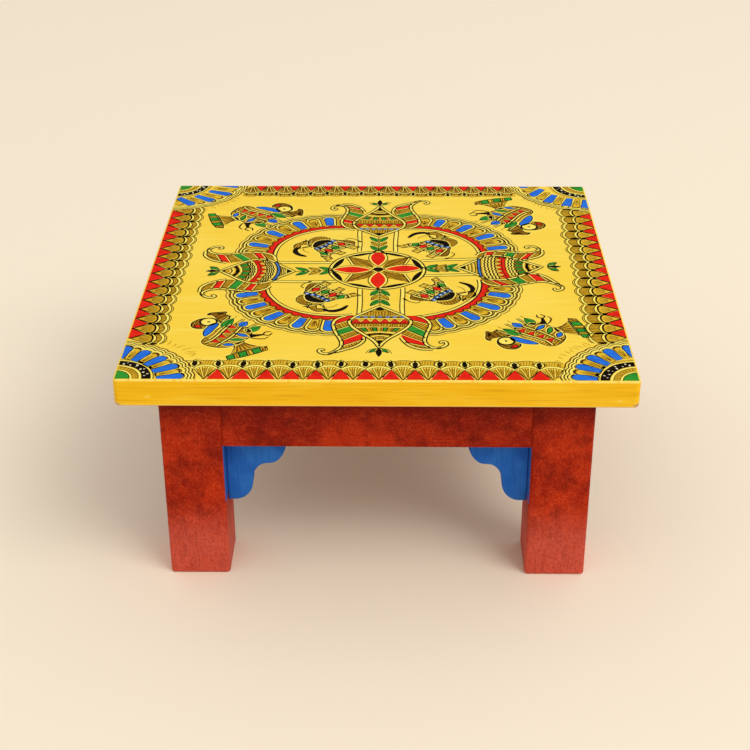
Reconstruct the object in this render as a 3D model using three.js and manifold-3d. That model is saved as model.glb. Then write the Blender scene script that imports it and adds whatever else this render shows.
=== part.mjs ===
// A low table: three boards glued edge to edge over a frame of four square legs and four rails.
// Millimetres, +Z up, the origin on the floor under the middle of the top, the front towards -Y.
// The rails are tenoned into the legs, scrolled brackets are pinned under them, and blocks inside
// the frame are screwed to the rails and to the top.
import * as THREE from 'three';
import { mergeVertices } from 'three/addons/utils/BufferGeometryUtils.js';
import Module from 'manifold-3d';

const wasm = await Module();
wasm.setup();

// Top
const topWidth = 381;
const topDepth = 381;
const topThickness = 22;
const topCornerRadius = 4;
const topEdgeEase = 1.6;
const boardCount = 3;

// Stance
const tableHeight = 190;
const overhang = 26.7;

// Legs
const legWidth = 47;
const legCornerRadius = 3;
const legFootEase = 2.2;

// Rails and their tenons
const railHeight = 51;
const railThickness = 28;
const railSetback = 2;
const tenonThickness = 9;
const tenonShoulder = 8;
const tenonFit = 0.3;
const mitreGap = 1;

// Brackets: how far each reaches along the rail and down the leg
const bracketReach = 47.5;
const bracketDrop = 57;
const bracketThickness = 14;
const bracketSetback = 15.2;
const bracketEase = 0.8;

// The bracket's scroll, from its tip under the rail to its toe on the leg, in shares of reach and drop
const tipWidthShare = 0.3;
const tipHeightShare = 0.417;
const coveCentreShares = [0.66, 0.68];
const toeCentreShares = [0.12, 0.7];
const coveEdgeShare = 0.42;

// Bracket pins
const pinLength = 36;
const pinRadius = 0.8;
const pinHeadRadius = 1.3;
const pinHeadHeight = 0.9;
const pinPointLength = 2.4;
const pinPunch = 1.5;
const pinUpShare = 0.72;
const pinSideShare = 0.7;

// Blocks that hold the top
const blockLength = 72;
const blockDepth = 22;
const blockHeight = 22;
const blockCornerRadius = 2.5;
const blockEase = 1.5;
const screwSpacing = 36;

// Screws
const screwLength = 32;
const screwShankRadius = 2;
const screwCoreRadius = 1.5;
const screwHeadRadius = 4;
const screwHeadHeight = 2.6;
const screwPointLength = 3.5;
const screwThreadLength = 18;
const screwThreadPitch = 1.8;
const threadRootShares = [0.3, 0.6];
const slotWidth = 1.1;
const slotDepth = 1.2;

// Clearances: round a pin or screw in its bore, past the end of a bore, and past a face that is cut
const boreFit = 0.3;
const boreSpare = 1.5;
const overrun = 2;

// An eased edge is limited by the corner radius that it runs round
const largestEaseShare = 0.9;

// Facets
const cornerSteps = 4;
const scrollSteps = 9;
const pinSides = 8;
const screwSides = 12;

// Places worked out from the sizes
const legHeight = tableHeight - topThickness;
const frameWidth = topWidth - 2 * overhang;
const frameDepth = topDepth - 2 * overhang;
const railBottom = legHeight - railHeight;
const railInner = railSetback + railThickness;
const tenonOuter = railSetback + (railThickness - tenonThickness) / 2;
const tenonInner = tenonOuter + tenonThickness;
const tenonHeight = railHeight - 2 * tenonShoulder;
const bracketMiddle = bracketSetback + bracketThickness / 2;
const pinUpAt = pinUpShare * bracketReach;
const pinUpStart = tipHeightShare * bracketDrop - pinPunch;
const pinSideAt = pinSideShare * bracketDrop;
const pinSideStart = coveEdgeShare * bracketReach - pinPunch;
const blockMiddle = railInner + blockDepth / 2;

// Finishes
const yellowPaint = { color: 0xf0b323, roughness: 0.45, metalness: 0 };
const redPaint = { color: 0xa03014, roughness: 0.5, metalness: 0 };
const bluePaint = { color: 0x23589a, roughness: 0.45, metalness: 0 };
const bareWood = { color: 0xc79a63, roughness: 0.75, metalness: 0 };
const steel = { color: 0x9a9a98, roughness: 0.4, metalness: 1 };

// Solids and meshes

function solidOf(geometry) {
  const plain = geometry.clone();
  plain.deleteAttribute('normal');
  plain.deleteAttribute('uv');
  const merged = mergeVertices(plain);
  return new wasm.Manifold(new wasm.Mesh({
    numProp: 3,
    vertProperties: merged.attributes.position.array,
    triVerts: new Uint32Array(merged.index.array),
  }));
}

function cut(body, tools) {
  return tools.reduce((rest, tool) => rest.subtract(solidOf(tool)), body);
}

function geometryOf(solid) {
  const made = solid.getMesh();
  const geometry = new THREE.BufferGeometry();
  geometry.setAttribute('position', new THREE.BufferAttribute(made.vertProperties, 3));
  geometry.setIndex(new THREE.BufferAttribute(made.triVerts, 1));
  const faceted = geometry.toNonIndexed();
  faceted.computeVertexNormals();
  return faceted;
}

function addMesh(parent, name, geometry, finish) {
  const mesh = new THREE.Mesh(geometry, new THREE.MeshStandardMaterial(finish));
  mesh.name = name;
  parent.add(mesh);
  return mesh;
}

// A box between two corners
function boxBetween(low, high) {
  const size = high.map((value, axis) => value - low[axis]);
  const middle = high.map((value, axis) => (value + low[axis]) / 2);
  return new THREE.BoxGeometry(...size).translate(...middle);
}

// An upright block on z = 0 with rounded corners in plan and eased top and bottom edges
function easedBlock(width, depth, height, cornerRadius, wantedEase) {
  const ease = Math.min(wantedEase, largestEaseShare * cornerRadius);
  const right = width / 2 - cornerRadius;
  const back = depth / 2 - cornerRadius;
  const plan = new THREE.Shape();
  plan.absarc(right, back, cornerRadius, 0, Math.PI / 2);
  plan.absarc(-right, back, cornerRadius, Math.PI / 2, Math.PI);
  plan.absarc(-right, -back, cornerRadius, Math.PI, 1.5 * Math.PI);
  plan.absarc(right, -back, cornerRadius, 1.5 * Math.PI, 2 * Math.PI);
  return new THREE.ExtrudeGeometry(plan, {
    depth: height - 2 * ease,
    curveSegments: cornerSteps,
    bevelSize: ease,
    bevelThickness: ease,
    bevelOffset: -ease,
    bevelSegments: cornerSteps,
  }).translate(0, 0, ease);
}

// A turned solid that stands on z = 0 along +Z, from [radius, height] pairs
function turned(pairs, sides) {
  const profile = pairs.map(([radius, height]) => new THREE.Vector2(radius, height));
  return new THREE.LatheGeometry(profile, sides).rotateX(Math.PI / 2);
}

// The top, cut into boards

// Where the screws of the four blocks enter the top, given as [x, y]
function topScrewPlaces() {
  const across = frameDepth / 2 - blockMiddle;
  const along = frameWidth / 2 - blockMiddle;
  const half = screwSpacing / 2;
  return [[half, -across], [along, half], [-half, across], [-along, -half]];
}

function makeTop(parent) {
  const slab = easedBlock(topWidth, topDepth, topThickness, topCornerRadius, topEdgeEase);
  const bores = topScrewPlaces().map(([x, y]) => threadBore().translate(x, y, 0));
  const bored = cut(solidOf(slab), bores);
  const boardDepth = topDepth / boardCount;
  for (let i = 0; i < boardCount; i++) {
    const front = i === 0 ? -topDepth / 2 - overrun : -topDepth / 2 + i * boardDepth;
    const back = i === boardCount - 1 ? topDepth / 2 + overrun : -topDepth / 2 + (i + 1) * boardDepth;
    const keep = boxBetween(
      [-topWidth / 2 - overrun, front, -overrun],
      [topWidth / 2 + overrun, back, topThickness + overrun],
    );
    const board = geometryOf(bored.intersect(solidOf(keep)));
    addMesh(parent, `top_board_${i + 1}`, board, yellowPaint).position.z = legHeight;
  }
}

// Legs: in a leg's own frame its outer faces are x = 0 and y = 0, and it stands on z = 0

function legGeometry() {
  const tall = easedBlock(legWidth, legWidth, legHeight + overrun, legCornerRadius, legFootEase)
    .translate(legWidth / 2, legWidth / 2, 0);
  const above = boxBetween(
    [-overrun, -overrun, legHeight],
    [legWidth + overrun, legWidth + overrun, legHeight + 2 * overrun],
  );
  const mortiseLow = railBottom + tenonShoulder - tenonFit;
  const mortiseHigh = railBottom + tenonShoulder + tenonHeight + tenonFit;
  const start = tenonOuter - tenonFit;
  const end = tenonInner + tenonFit;
  const through = legWidth + overrun;
  const mortises = [
    boxBetween([start, start, mortiseLow], [through, end, mortiseHigh]),
    boxBetween([start, start, mortiseLow], [end, through, mortiseHigh]),
  ];
  const pinHeight = railBottom - pinSideAt;
  const pinDepth = pinLength - pinSideStart;
  const pinBores = [
    pinBore(pinDepth).rotateY(-Math.PI / 2).translate(legWidth, bracketMiddle, pinHeight),
    pinBore(pinDepth).rotateX(Math.PI / 2).translate(bracketMiddle, legWidth, pinHeight),
  ];
  return geometryOf(cut(solidOf(tall), [above, ...mortises, ...pinBores]));
}

// Rails: in a rail's own frame x runs along it, y is the distance in from the legs' outer faces,
// and z = 0 is its underside

function railGeometry(length) {
  const half = length / 2;
  const body = boxBetween([-half, railSetback, 0], [half, railInner, railHeight]);
  const tip = half + legWidth - mitreGap;
  const plan = new THREE.Shape([
    new THREE.Vector2(-tip + tenonOuter, tenonOuter),
    new THREE.Vector2(tip - tenonOuter, tenonOuter),
    new THREE.Vector2(tip - tenonInner, tenonInner),
    new THREE.Vector2(-tip + tenonInner, tenonInner),
  ]);
  const tenons = new THREE.ExtrudeGeometry(plan, { depth: tenonHeight, bevelEnabled: false })
    .translate(0, 0, tenonShoulder);
  const pinDepth = pinLength - pinUpStart;
  const pinPlaces = [-half + pinUpAt, half - pinUpAt];
  const bores = pinPlaces.map((x) => pinBore(pinDepth).translate(x, bracketMiddle, 0));
  const screwBore = threadBore().rotateX(Math.PI / 2)
    .translate(-screwSpacing / 2, railInner, railHeight - blockHeight / 2);
  return geometryOf(cut(solidOf(body).add(solidOf(tenons)), [...bores, screwBore]));
}

// Brackets: x runs out from the leg, z = 0 is the rail's underside, and y = 0 is the middle

function bracketOutline() {
  const across = (share) => share * bracketReach;
  const down = (share) => -share * bracketDrop;
  const [coveX, coveY] = coveCentreShares;
  const [toeX, toeY] = toeCentreShares;
  const outline = new THREE.Shape();
  outline.moveTo(0, 0);
  outline.lineTo(0, down(1));
  outline.lineTo(across(toeX), down(1));
  outline.absellipse(across(toeX), down(toeY), across(coveEdgeShare - toeX), down(toeY) - down(1),
    -Math.PI / 2, 0);
  outline.absellipse(across(coveX), down(coveY), across(coveX - coveEdgeShare),
    down(tipHeightShare) - down(coveY), Math.PI, Math.PI / 2, true);
  outline.absellipse(across(1 - tipWidthShare), 0, across(tipWidthShare), -down(tipHeightShare),
    -Math.PI / 2, 0);
  return outline;
}

function bracketGeometry() {
  const plain = new THREE.ExtrudeGeometry(bracketOutline(), {
    depth: bracketThickness - 2 * bracketEase,
    curveSegments: scrollSteps,
    bevelSize: bracketEase,
    bevelThickness: bracketEase,
    bevelOffset: -bracketEase,
    bevelSegments: 1,
  }).rotateX(Math.PI / 2).translate(0, bracketThickness / 2 - bracketEase, 0);
  const clear = pinHeadRadius + boreFit;
  const holeUp = turned([[0, 0], [clear, 0], [clear, bracketDrop], [0, bracketDrop]], pinSides)
    .translate(pinUpAt, 0, -bracketDrop + overrun);
  const holeSide = turned([[0, 0], [clear, 0], [clear, bracketReach], [0, bracketReach]], pinSides)
    .rotateY(Math.PI / 2).translate(-overrun, 0, -pinSideAt);
  return geometryOf(cut(solidOf(plain), [holeUp, holeSide]));
}

// Pins and screws: the head's outer face is at z = 0, and the point is up

function pinGeometry() {
  const shank = pinLength - pinPointLength;
  return turned([
    [0, 0],
    [pinHeadRadius, 0],
    [pinHeadRadius, pinHeadHeight],
    [pinRadius, pinHeadHeight],
    [pinRadius, shank],
    [0, pinLength],
  ], pinSides);
}

// The bore for a pin that goes in by a given depth, from just outside the face at z = 0
function pinBore(depth) {
  const radius = pinRadius + boreFit;
  return turned([[0, -overrun], [radius, -overrun], [radius, depth + boreSpare],
    [0, depth + boreSpare]], pinSides);
}

function screwGeometry() {
  const threadStart = screwLength - screwPointLength - screwThreadLength;
  const turns = Math.max(1, Math.round(screwThreadLength / screwThreadPitch));
  const pitch = screwThreadLength / turns;
  const profile = [[0, 0], [screwHeadRadius, 0], [screwShankRadius, screwHeadHeight]];
  profile.push([screwShankRadius, threadStart]);
  for (let i = 0; i < turns; i++) {
    for (const share of threadRootShares) {
      profile.push([screwCoreRadius, threadStart + (i + share) * pitch]);
    }
    profile.push([screwShankRadius, threadStart + (i + 1) * pitch]);
  }
  profile.push([0, screwLength]);
  const slot = boxBetween(
    [-screwHeadRadius - overrun, -slotWidth / 2, -overrun],
    [screwHeadRadius + overrun, slotWidth / 2, slotDepth],
  );
  return geometryOf(cut(solidOf(turned(profile, screwSides)), [slot]));
}

// The countersunk hole through a block
function screwHole(depth) {
  const head = screwHeadRadius + boreFit;
  const shank = screwShankRadius + boreFit;
  return turned([[0, -overrun], [head, -overrun], [head, 0], [shank, screwHeadHeight],
    [shank, depth + overrun], [0, depth + overrun]], screwSides);
}

// The bore for the end of a screw that has passed through a block
function threadBore() {
  const radius = screwShankRadius + boreFit;
  const depth = screwLength - Math.min(blockDepth, blockHeight) + boreSpare;
  return turned([[0, -overrun], [radius, -overrun], [radius, depth], [0, depth]], screwSides);
}

// Blocks: the frame of the rail that carries them

function blockGeometry() {
  const plain = easedBlock(blockLength, blockDepth, blockHeight, blockCornerRadius, blockEase)
    .translate(0, blockMiddle, railHeight - blockHeight);
  const up = screwHole(blockHeight)
    .translate(screwSpacing / 2, blockMiddle, railHeight - blockHeight);
  const out = screwHole(blockDepth).rotateX(Math.PI / 2)
    .translate(-screwSpacing / 2, railInner + blockDepth, railHeight - blockHeight / 2);
  return geometryOf(cut(solidOf(plain), [up, out]));
}

const table = new THREE.Group();
makeTop(table);

const legPlaces = [
  { name: 'front_left', x: -frameWidth / 2, y: -frameDepth / 2 },
  { name: 'front_right', x: frameWidth / 2, y: -frameDepth / 2 },
  { name: 'back_right', x: frameWidth / 2, y: frameDepth / 2 },
  { name: 'back_left', x: -frameWidth / 2, y: frameDepth / 2 },
];
const leg = legGeometry();
legPlaces.forEach(({ name, x, y }, quarter) => {
  const mesh = addMesh(table, `leg_${name}`, leg, redPaint);
  mesh.position.set(x, y, 0);
  mesh.rotation.z = quarter * Math.PI / 2;
});

const bracket = bracketGeometry();
const pin = pinGeometry();
const screw = screwGeometry();
const block = blockGeometry();

// One pair of brackets with their pins, in the frame of a rail
function addBrackets(side, name, length, ends) {
  ends.forEach((end, turn) => {
    const corner = new THREE.Group();
    corner.position.set((turn - 1 / 2) * length, bracketMiddle, 0);
    corner.rotation.z = turn * Math.PI;
    addMesh(corner, `bracket_${name}_${end}`, bracket, bluePaint);
    addMesh(corner, `bracket_pin_up_${name}_${end}`, pin, steel).position.set(pinUpAt, 0, -pinUpStart);
    const sidePin = addMesh(corner, `bracket_pin_side_${name}_${end}`, pin, steel);
    sidePin.position.set(pinSideStart, 0, -pinSideAt);
    sidePin.rotation.y = -Math.PI / 2;
    side.add(corner);
  });
}

// The block behind a rail and its two screws
function addBlock(side, name) {
  addMesh(side, `top_block_${name}`, block, bareWood);
  addMesh(side, `block_screw_top_${name}`, screw, steel)
    .position.set(screwSpacing / 2, blockMiddle, railHeight - blockHeight);
  const railScrew = addMesh(side, `block_screw_rail_${name}`, screw, steel);
  railScrew.position.set(-screwSpacing / 2, railInner + blockDepth, railHeight - blockHeight / 2);
  railScrew.rotation.x = Math.PI / 2;
}

// Each side's ends are named as they come in its own frame
const acrossLength = frameWidth - 2 * legWidth;
const alongLength = frameDepth - 2 * legWidth;
const sides = [
  { name: 'front', x: 0, y: -frameDepth / 2, length: acrossLength, ends: ['left', 'right'] },
  { name: 'right', x: frameWidth / 2, y: 0, length: alongLength, ends: ['front', 'back'] },
  { name: 'back', x: 0, y: frameDepth / 2, length: acrossLength, ends: ['right', 'left'] },
  { name: 'left', x: -frameWidth / 2, y: 0, length: alongLength, ends: ['back', 'front'] },
];
sides.forEach(({ name, x, y, length, ends }, quarter) => {
  const side = new THREE.Group();
  side.position.set(x, y, railBottom);
  side.rotation.z = quarter * Math.PI / 2;
  addMesh(side, `rail_${name}`, railGeometry(length), redPaint);
  addBrackets(side, name, length, ends);
  addBlock(side, name);
  table.add(side);
});

export default table;
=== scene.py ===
import cmath
import math
import random

import bmesh
import bpy
from mathutils import Matrix, Vector, noise


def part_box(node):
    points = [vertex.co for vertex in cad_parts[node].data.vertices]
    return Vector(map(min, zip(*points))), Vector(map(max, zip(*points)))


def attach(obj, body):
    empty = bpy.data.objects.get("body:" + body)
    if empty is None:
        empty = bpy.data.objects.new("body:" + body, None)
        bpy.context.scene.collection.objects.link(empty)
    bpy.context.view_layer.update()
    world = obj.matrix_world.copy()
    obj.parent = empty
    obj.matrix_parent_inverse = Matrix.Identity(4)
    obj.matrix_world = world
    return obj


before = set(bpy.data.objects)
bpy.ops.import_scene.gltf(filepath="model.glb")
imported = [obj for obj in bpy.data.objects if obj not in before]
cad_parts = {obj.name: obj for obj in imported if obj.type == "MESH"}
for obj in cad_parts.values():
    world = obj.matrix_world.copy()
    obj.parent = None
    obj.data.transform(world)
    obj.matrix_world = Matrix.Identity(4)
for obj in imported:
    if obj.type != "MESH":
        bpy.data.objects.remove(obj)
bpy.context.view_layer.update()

MM = 0.001
BODY = "root"
SIDES = ("front", "right", "back", "left")
EASE = 1.6  # the rounding of the slab's edges, which the drawing stops short of
board_boxes = [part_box(name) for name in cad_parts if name.startswith("top_board")]
TOP_Z = max(high.z for low, high in board_boxes)
EDGE = max(high.x for low, high in board_boxes) / MM
DEEP = max(high.y for low, high in board_boxes) / MM
SLAB_LOW = min(low.z for low, high in board_boxes) / MM
LEG_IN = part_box("leg_front_right")[0].x / MM  # a leg's inner face, from the middle
BRACKET_OUT = -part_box("bracket_front_right")[0].y / MM  # a bracket's outer face, from the middle
BRACKET_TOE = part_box("bracket_front_right")[0].z / MM
RAIL_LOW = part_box("rail_front")[0].z / MM


def add_object(name, data):
    made = bpy.data.objects.new(name, data)
    bpy.context.scene.collection.objects.link(made)
    return made


# Camera

def aim_camera(place, pitch, yaw, roll, lens):
    """A level camera turned to its right by yaw, tipped down by pitch, then rolled."""
    pitch, yaw, roll = (math.radians(angle) for angle in (pitch, yaw, roll))
    ahead = Vector((math.sin(yaw) * math.cos(pitch), math.cos(yaw) * math.cos(pitch), -math.sin(pitch)))
    right = Vector((math.cos(yaw), -math.sin(yaw), 0))
    up = right.cross(ahead)
    across = math.cos(roll) * right + math.sin(roll) * up
    upright = math.cos(roll) * up - math.sin(roll) * right
    data = bpy.data.cameras.new("camera")
    data.lens = lens
    data.sensor_width = 36
    camera = add_object("camera", data)
    turn = Matrix((across, upright, -ahead)).transposed()
    camera.matrix_world = Matrix.Translation(place) @ turn.to_4x4()
    bpy.context.scene.camera = camera


place = Vector((0.0133, -1.1223, 0.7043))
aim_camera(place, pitch=28.67, yaw=-0.868, roll=-0.184, lens=71.15)


# Nodes written as sums

def operator(operation, swapped=False):
    """A method of Wire that adds a Math node, with the wire last where it is swapped."""
    def apply(wire, *others):
        return wire.graph.maths(operation, *((*others, wire) if swapped else (wire, *others)))
    return apply


class Wire:
    """An output of a node. Sums written with it add Math nodes."""

    def __init__(self, graph, socket):
        self.graph = graph
        self.socket = socket

    __add__ = __radd__ = operator("ADD")
    __sub__ = operator("SUBTRACT")
    __rsub__ = operator("SUBTRACT", swapped=True)
    __mul__ = __rmul__ = operator("MULTIPLY")
    __pow__ = operator("POWER")
    __abs__ = operator("ABSOLUTE")

    def above(self, limit, soft):
        """1 where this is over the limit, 0 where it is under, soft wide between."""
        ease = {"interpolation_type": "SMOOTHSTEP"}
        ends = {0: self, 1: limit - soft / 2, 2: limit + soft / 2}
        return self.graph.node("ShaderNodeMapRange", ease, ends)

    def below(self, limit, soft):
        return 1 - self.above(limit, soft)


class Graph:
    """A node tree, filled by one method."""

    def __init__(self, tree):
        self.tree = tree

    def feed(self, socket, value):
        if isinstance(value, Wire):
            self.tree.links.new(value.socket, socket)
        else:
            socket.default_value = value

    def node(self, kind, settings=None, values=None, output=0):
        """Adds a node: its settings first, then the value or wire of each socket."""
        made = self.tree.nodes.new(kind)
        for name, setting in (settings or {}).items():
            setattr(made, name, setting)
        for socket, value in (values or {}).items():
            self.feed(made.inputs[socket], value)
        return Wire(self, made.outputs[output]) if len(made.outputs) else None

    def maths(self, operation, *values):
        return self.node("ShaderNodeMath", {"operation": operation}, dict(enumerate(values)))


# Finishes

def shade(red, green, blue):
    """A colour as a screen shows it, from 0 to 255, made linear."""
    def linear(level):
        level /= 255
        return level / 12.92 if level <= 0.04045 else ((level + 0.055) / 1.055) ** 2.4
    return (linear(red), linear(green), linear(blue), 1.0)


class Finish(Graph):
    """A material whose pattern lies on Object coordinates."""

    def __init__(self, name, roughness=0.5, metallic=0.0, gloss=0.5):
        self.material = bpy.data.materials.new(name)
        self.material.use_nodes = True
        super().__init__(self.material.node_tree)
        self.shader = self.tree.nodes["Principled BSDF"]
        self.shader.inputs["Roughness"].default_value = roughness
        self.shader.inputs["Metallic"].default_value = metallic
        self.shader.inputs["Specular IOR Level"].default_value = gloss
        self.place = self.node("ShaderNodeTexCoord", output="Object")

    def split(self, vector):
        return [self.node("ShaderNodeSeparateXYZ", values={0: vector}, output=axis) for axis in "XYZ"]

    def axes(self):
        """The place on the object in millimetres, along x, y and z."""
        return [part * (1 / MM) for part in self.split(self.place)]

    def facing(self):
        """How far the surface faces along x, y and z, from -1 to 1."""
        return self.split(self.node("ShaderNodeTexCoord", output="Normal"))

    def cloud(self, size, stretch=(1, 1, 1), detail=3, rough=0.5, shift=0):
        """Noise from 0 to 1 with patches of that size in mm, stretched along each axis."""
        def vector_maths(operation, first, second):
            return self.node("ShaderNodeVectorMath", {"operation": operation}, {0: first, 1: second})

        scaled = vector_maths("MULTIPLY", self.place, [1 / (MM * size * pull) for pull in stretch])
        moved = vector_maths("ADD", scaled, (shift, shift, shift))
        settings = {"Vector": moved, "Scale": 1.0, "Detail": detail, "Roughness": rough}
        return self.node("ShaderNodeTexNoise", values=settings)

    def mix(self, share, first, second):
        """Between two colours, each a wire or its red, green and blue as a screen shows them."""
        first, second = (c if isinstance(c, Wire) else shade(*c) for c in (first, second))
        settings = {"data_type": "RGBA", "clamp_factor": True}
        return self.node("ShaderNodeMix", settings, {0: share, 6: first, 7: second}, output=2)

    def over(self, colour, *coats):
        """A colour with coats over it, each given as its share and its own colour."""
        for share, coat in coats:
            colour = self.mix(share, colour, coat)
        return colour

    def colour(self, wire):
        self.feed(self.shader.inputs["Base Color"], wire)

    def rough(self, wire):
        self.feed(self.shader.inputs["Roughness"], wire)

    def bump(self, height, depth):
        """Relief of that depth in mm, from a height of 0 to 1."""
        relief = self.node("ShaderNodeBump", values={"Distance": depth * MM, "Height": height})
        self.feed(self.shader.inputs["Normal"], relief)


def drawn_out(along, pull):
    """A stretch along one axis alone."""
    return [pull if axis == along else 1 for axis in range(3)]


def bare_wood_colour(finish, along):
    """Pale wood with its grain along one axis."""
    grain = finish.cloud(2.4, drawn_out(along, 22), detail=5, rough=0.62)
    wide = finish.cloud(19, drawn_out(along, 22), detail=2)
    light = finish.mix(wide, (186, 146, 99), (214, 178, 130))
    return finish.mix(grain.above(0.56, 0.22) * 0.6, light, (148, 105, 64)), grain


def ground_paint():
    """The slab: yellow on top, golden round its edges with a painted highlight along both rounded arrises,
    bare wood below.
    """
    finish = Finish("yellow_ground", roughness=0.5, gloss=0.03)
    x, y, z = finish.axes()
    up = finish.facing()[2]
    brush = finish.cloud(1.6, drawn_out(0, 34))
    smear_and_highlight = finish.cloud(9, drawn_out(0, 7), detail=2, shift=7)
    patch = finish.cloud(85, detail=1, shift=3)
    yellow = finish.over(
        finish.mix(patch.above(0.5, 0.5), (252, 210, 62), (253, 217, 80)),
        (brush.above(0.6, 0.3) * 0.35, (243, 196, 50)),
        (smear_and_highlight.above(0.62, 0.2) * 0.4, (255, 225, 100)),
    )
    streak = finish.cloud(1.3, (40, 40, 1), detail=4, rough=0.6, shift=2)
    wear_and_highlight = finish.cloud(3.2, detail=4, rough=0.7, shift=11)
    fillers = 0.0
    knots = ((-166, 176, 2.6), (176, 174, 2))  # x, z and radius of the filled knots at the front
    for along, height, reach in knots:
        off = ((x - along) * (x - along) + 6 * (z - height) * (z - height)) ** 0.5
        fillers = off.below(reach, 2.2) * wear_and_highlight.above(0.46, 0.1) * y.below(1.5 - DEEP, 1) + fillers
    # Painted highlight: the upper rounded arris is painted paler, in patches, standing in for light caught
    # on it
    upper_arris_highlight = up.above(0.2, 0.2) * up.below(0.96, 0.04)
    # Painted highlight: the lower rounded arris is painted paler too, broken up by the smear noise
    lower_arris_highlight = z.below(SLAB_LOW + EASE, 1.2)
    golden = finish.over(
        finish.mix(streak.above(0.5, 0.4), (246, 190, 30), (236, 178, 26)),
        (streak.above(0.63, 0.16) * 0.7, (214, 150, 20)),
        (smear_and_highlight.above(0.58, 0.3) * 0.5, (252, 206, 56)),
        (fillers * 0.8, (252, 208, 84)),
        (upper_arris_highlight * wear_and_highlight.above(0.4, 0.2) * 0.8, (255, 228, 120)),
        (lower_arris_highlight * smear_and_highlight.above(0.4, 0.3) * 0.8, (255, 214, 96)),
    )
    chips = 0.0
    chipped = ((8, 190, -190, 170), (9, -190, -190, 169), (7, 190, 190, 186))  # reach, x, y and z
    for reach, right, back, height in chipped:
        across, along = x - right, y - back
        off = (across * across + along * along + 5 * (z - height) * (z - height)) ** 0.5
        chips = (off + wear_and_highlight * 9).below(reach, 1.5) + chips
    wood, grain = bare_wood_colour(finish, 0)
    underside = up.below(-0.5, 0.4)
    finish.colour(finish.over(golden, (up.above(0.9, 0.1), yellow), (chips, wood), (underside, wood)))
    finish.rough(0.38 + 0.16 * smear_and_highlight + 0.3 * underside)
    finish.bump(brush * 0.5 + streak * 0.5 + grain * 0.3, 0.12)
    return finish.material


def stained_wood(name, along, shift):
    """Red-brown stain rubbed into the grain, with painted shade darkening it under the slab and paler at
    the feet, where a reflection of the floor is painted in with some rubbed paint; blue where a bracket's
    paint ran on.
    """
    finish = Finish(name, roughness=0.5, gloss=0.08)
    x, y, z = finish.axes()
    grain = finish.cloud(1.5, drawn_out(along, 16), detail=5, rough=0.66, shift=shift)
    pores = finish.cloud(0.9, drawn_out(along, 9), shift=shift + 4)
    cloud = finish.cloud(30, rough=0.6, shift=shift + 9)
    rub_and_reflection = finish.cloud(7, detail=4, rough=0.7, shift=shift + 13)
    mottle = finish.cloud(1.6, detail=4, rough=0.75, shift=shift + 17)
    blotch = finish.cloud(16, rough=0.6, shift=shift + 29)
    wood = bare_wood_colour(finish, along)[0]
    red = finish.over(
        finish.mix(cloud.above(0.5, 0.3), (146, 24, 2), (190, 48, 8)),
        # Painted shade: darker towards the top of the legs and rails, under the slab
        (z.above(142, 40) * 0.8, (118, 12, 0)),
        # Paler towards the feet: a painted reflection of the pale floor, together with some rubbed paint
        ((z + rub_and_reflection * 26).below(62, 46) * 0.85, (212, 90, 70)),
        (grain.above(0.57, 0.24) * 0.34, (122, 22, 6)),
        (pores.above(0.66, 0.1) * 0.3, (210, 92, 50)),
        (mottle.above(0.6, 0.16) * 0.32, (224, 96, 56)),
        (mottle.below(0.45, 0.2) * 0.4, (118, 14, 0)),
        (rub_and_reflection.above(0.6, 0.2) * 0.35, (204, 66, 24)),
        (blotch.below(0.42, 0.2) * z.above(45, 60) * 0.5, (96, 8, 0)),
        # Painted shade again, darkest right under the slab
        (z.above(152, 26) * 0.72, (72, 0, 0)),
        (z.below(0.6, 0.6), wood),
    )
    if along == 2:
        inner, outside = LEG_IN + 0.5, BRACKET_OUT - 0.6
        strip = abs(x).below(inner, 0.4) * abs(y).above(outside, 0.6)
        strip = abs(y).below(inner, 0.4) * abs(x).above(outside, 0.6) + strip
        run = z + rub_and_reflection * 3
        strip = strip * run.above(BRACKET_TOE + 8, 0.8) * run.below(RAIL_LOW + 2, 0.8)
        red = finish.mix(strip, red, finish.mix(rub_and_reflection, (26, 80, 160), (48, 108, 188)))
    finish.colour(red)
    finish.rough(0.34 + 0.3 * grain)
    finish.bump(grain * 0.7 + pores * 0.3, 0.22)
    return finish.material


def bracket_paint():
    """Blue, brushed on thinly and rubbed pale in places."""
    finish = Finish("blue_bracket", roughness=0.5, gloss=0.08)
    brush = finish.cloud(1.8, drawn_out(2, 12), detail=4, rough=0.6)
    patch = finish.cloud(16, shift=5)
    wear = finish.cloud(2.6, detail=4, rough=0.7, shift=2)
    finish.colour(finish.over(
        finish.mix(patch.above(0.5, 0.4), (32, 94, 178), (46, 112, 194)),
        (brush.above(0.6, 0.2) * 0.5, (24, 74, 148)),
        (wear.above(0.72, 0.06) * 0.5, (96, 144, 196)),
    ))
    finish.rough(0.4 + 0.2 * brush)
    finish.bump(brush, 0.12)
    return finish.material


def plain_wood():
    finish = Finish("bare_wood", roughness=0.7, gloss=0.3)
    wood, grain = bare_wood_colour(finish, 0)
    finish.colour(wood)
    finish.rough(0.6 + 0.2 * grain)
    finish.bump(grain, 0.15)
    return finish.material


def screw_steel():
    finish = Finish("zinc_steel", roughness=0.35, metallic=1.0)
    scratch = finish.cloud(0.6, drawn_out(1, 6))
    finish.colour(finish.mix(scratch, (150, 148, 142), (188, 184, 172)))
    finish.rough(0.28 + 0.25 * scratch)
    return finish.material


def brushed_paint(name, body, thin, thick):
    """A poster paint laid with a small brush: thin where it drags, thick where it pools."""
    finish = Finish(name, gloss=0.01)
    drag = finish.cloud(0.9, drawn_out(0, 5), detail=4, rough=0.65)
    pool = finish.cloud(6.5, shift=6)
    finish.colour(finish.over(
        body, (drag.above(0.58, 0.24) * 0.7, thin), (pool.above(0.56, 0.24) * 0.6, thick)
    ))
    finish.rough(0.45 + 0.2 * drag)
    finish.bump(drag, 0.05)
    return finish.material


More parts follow.
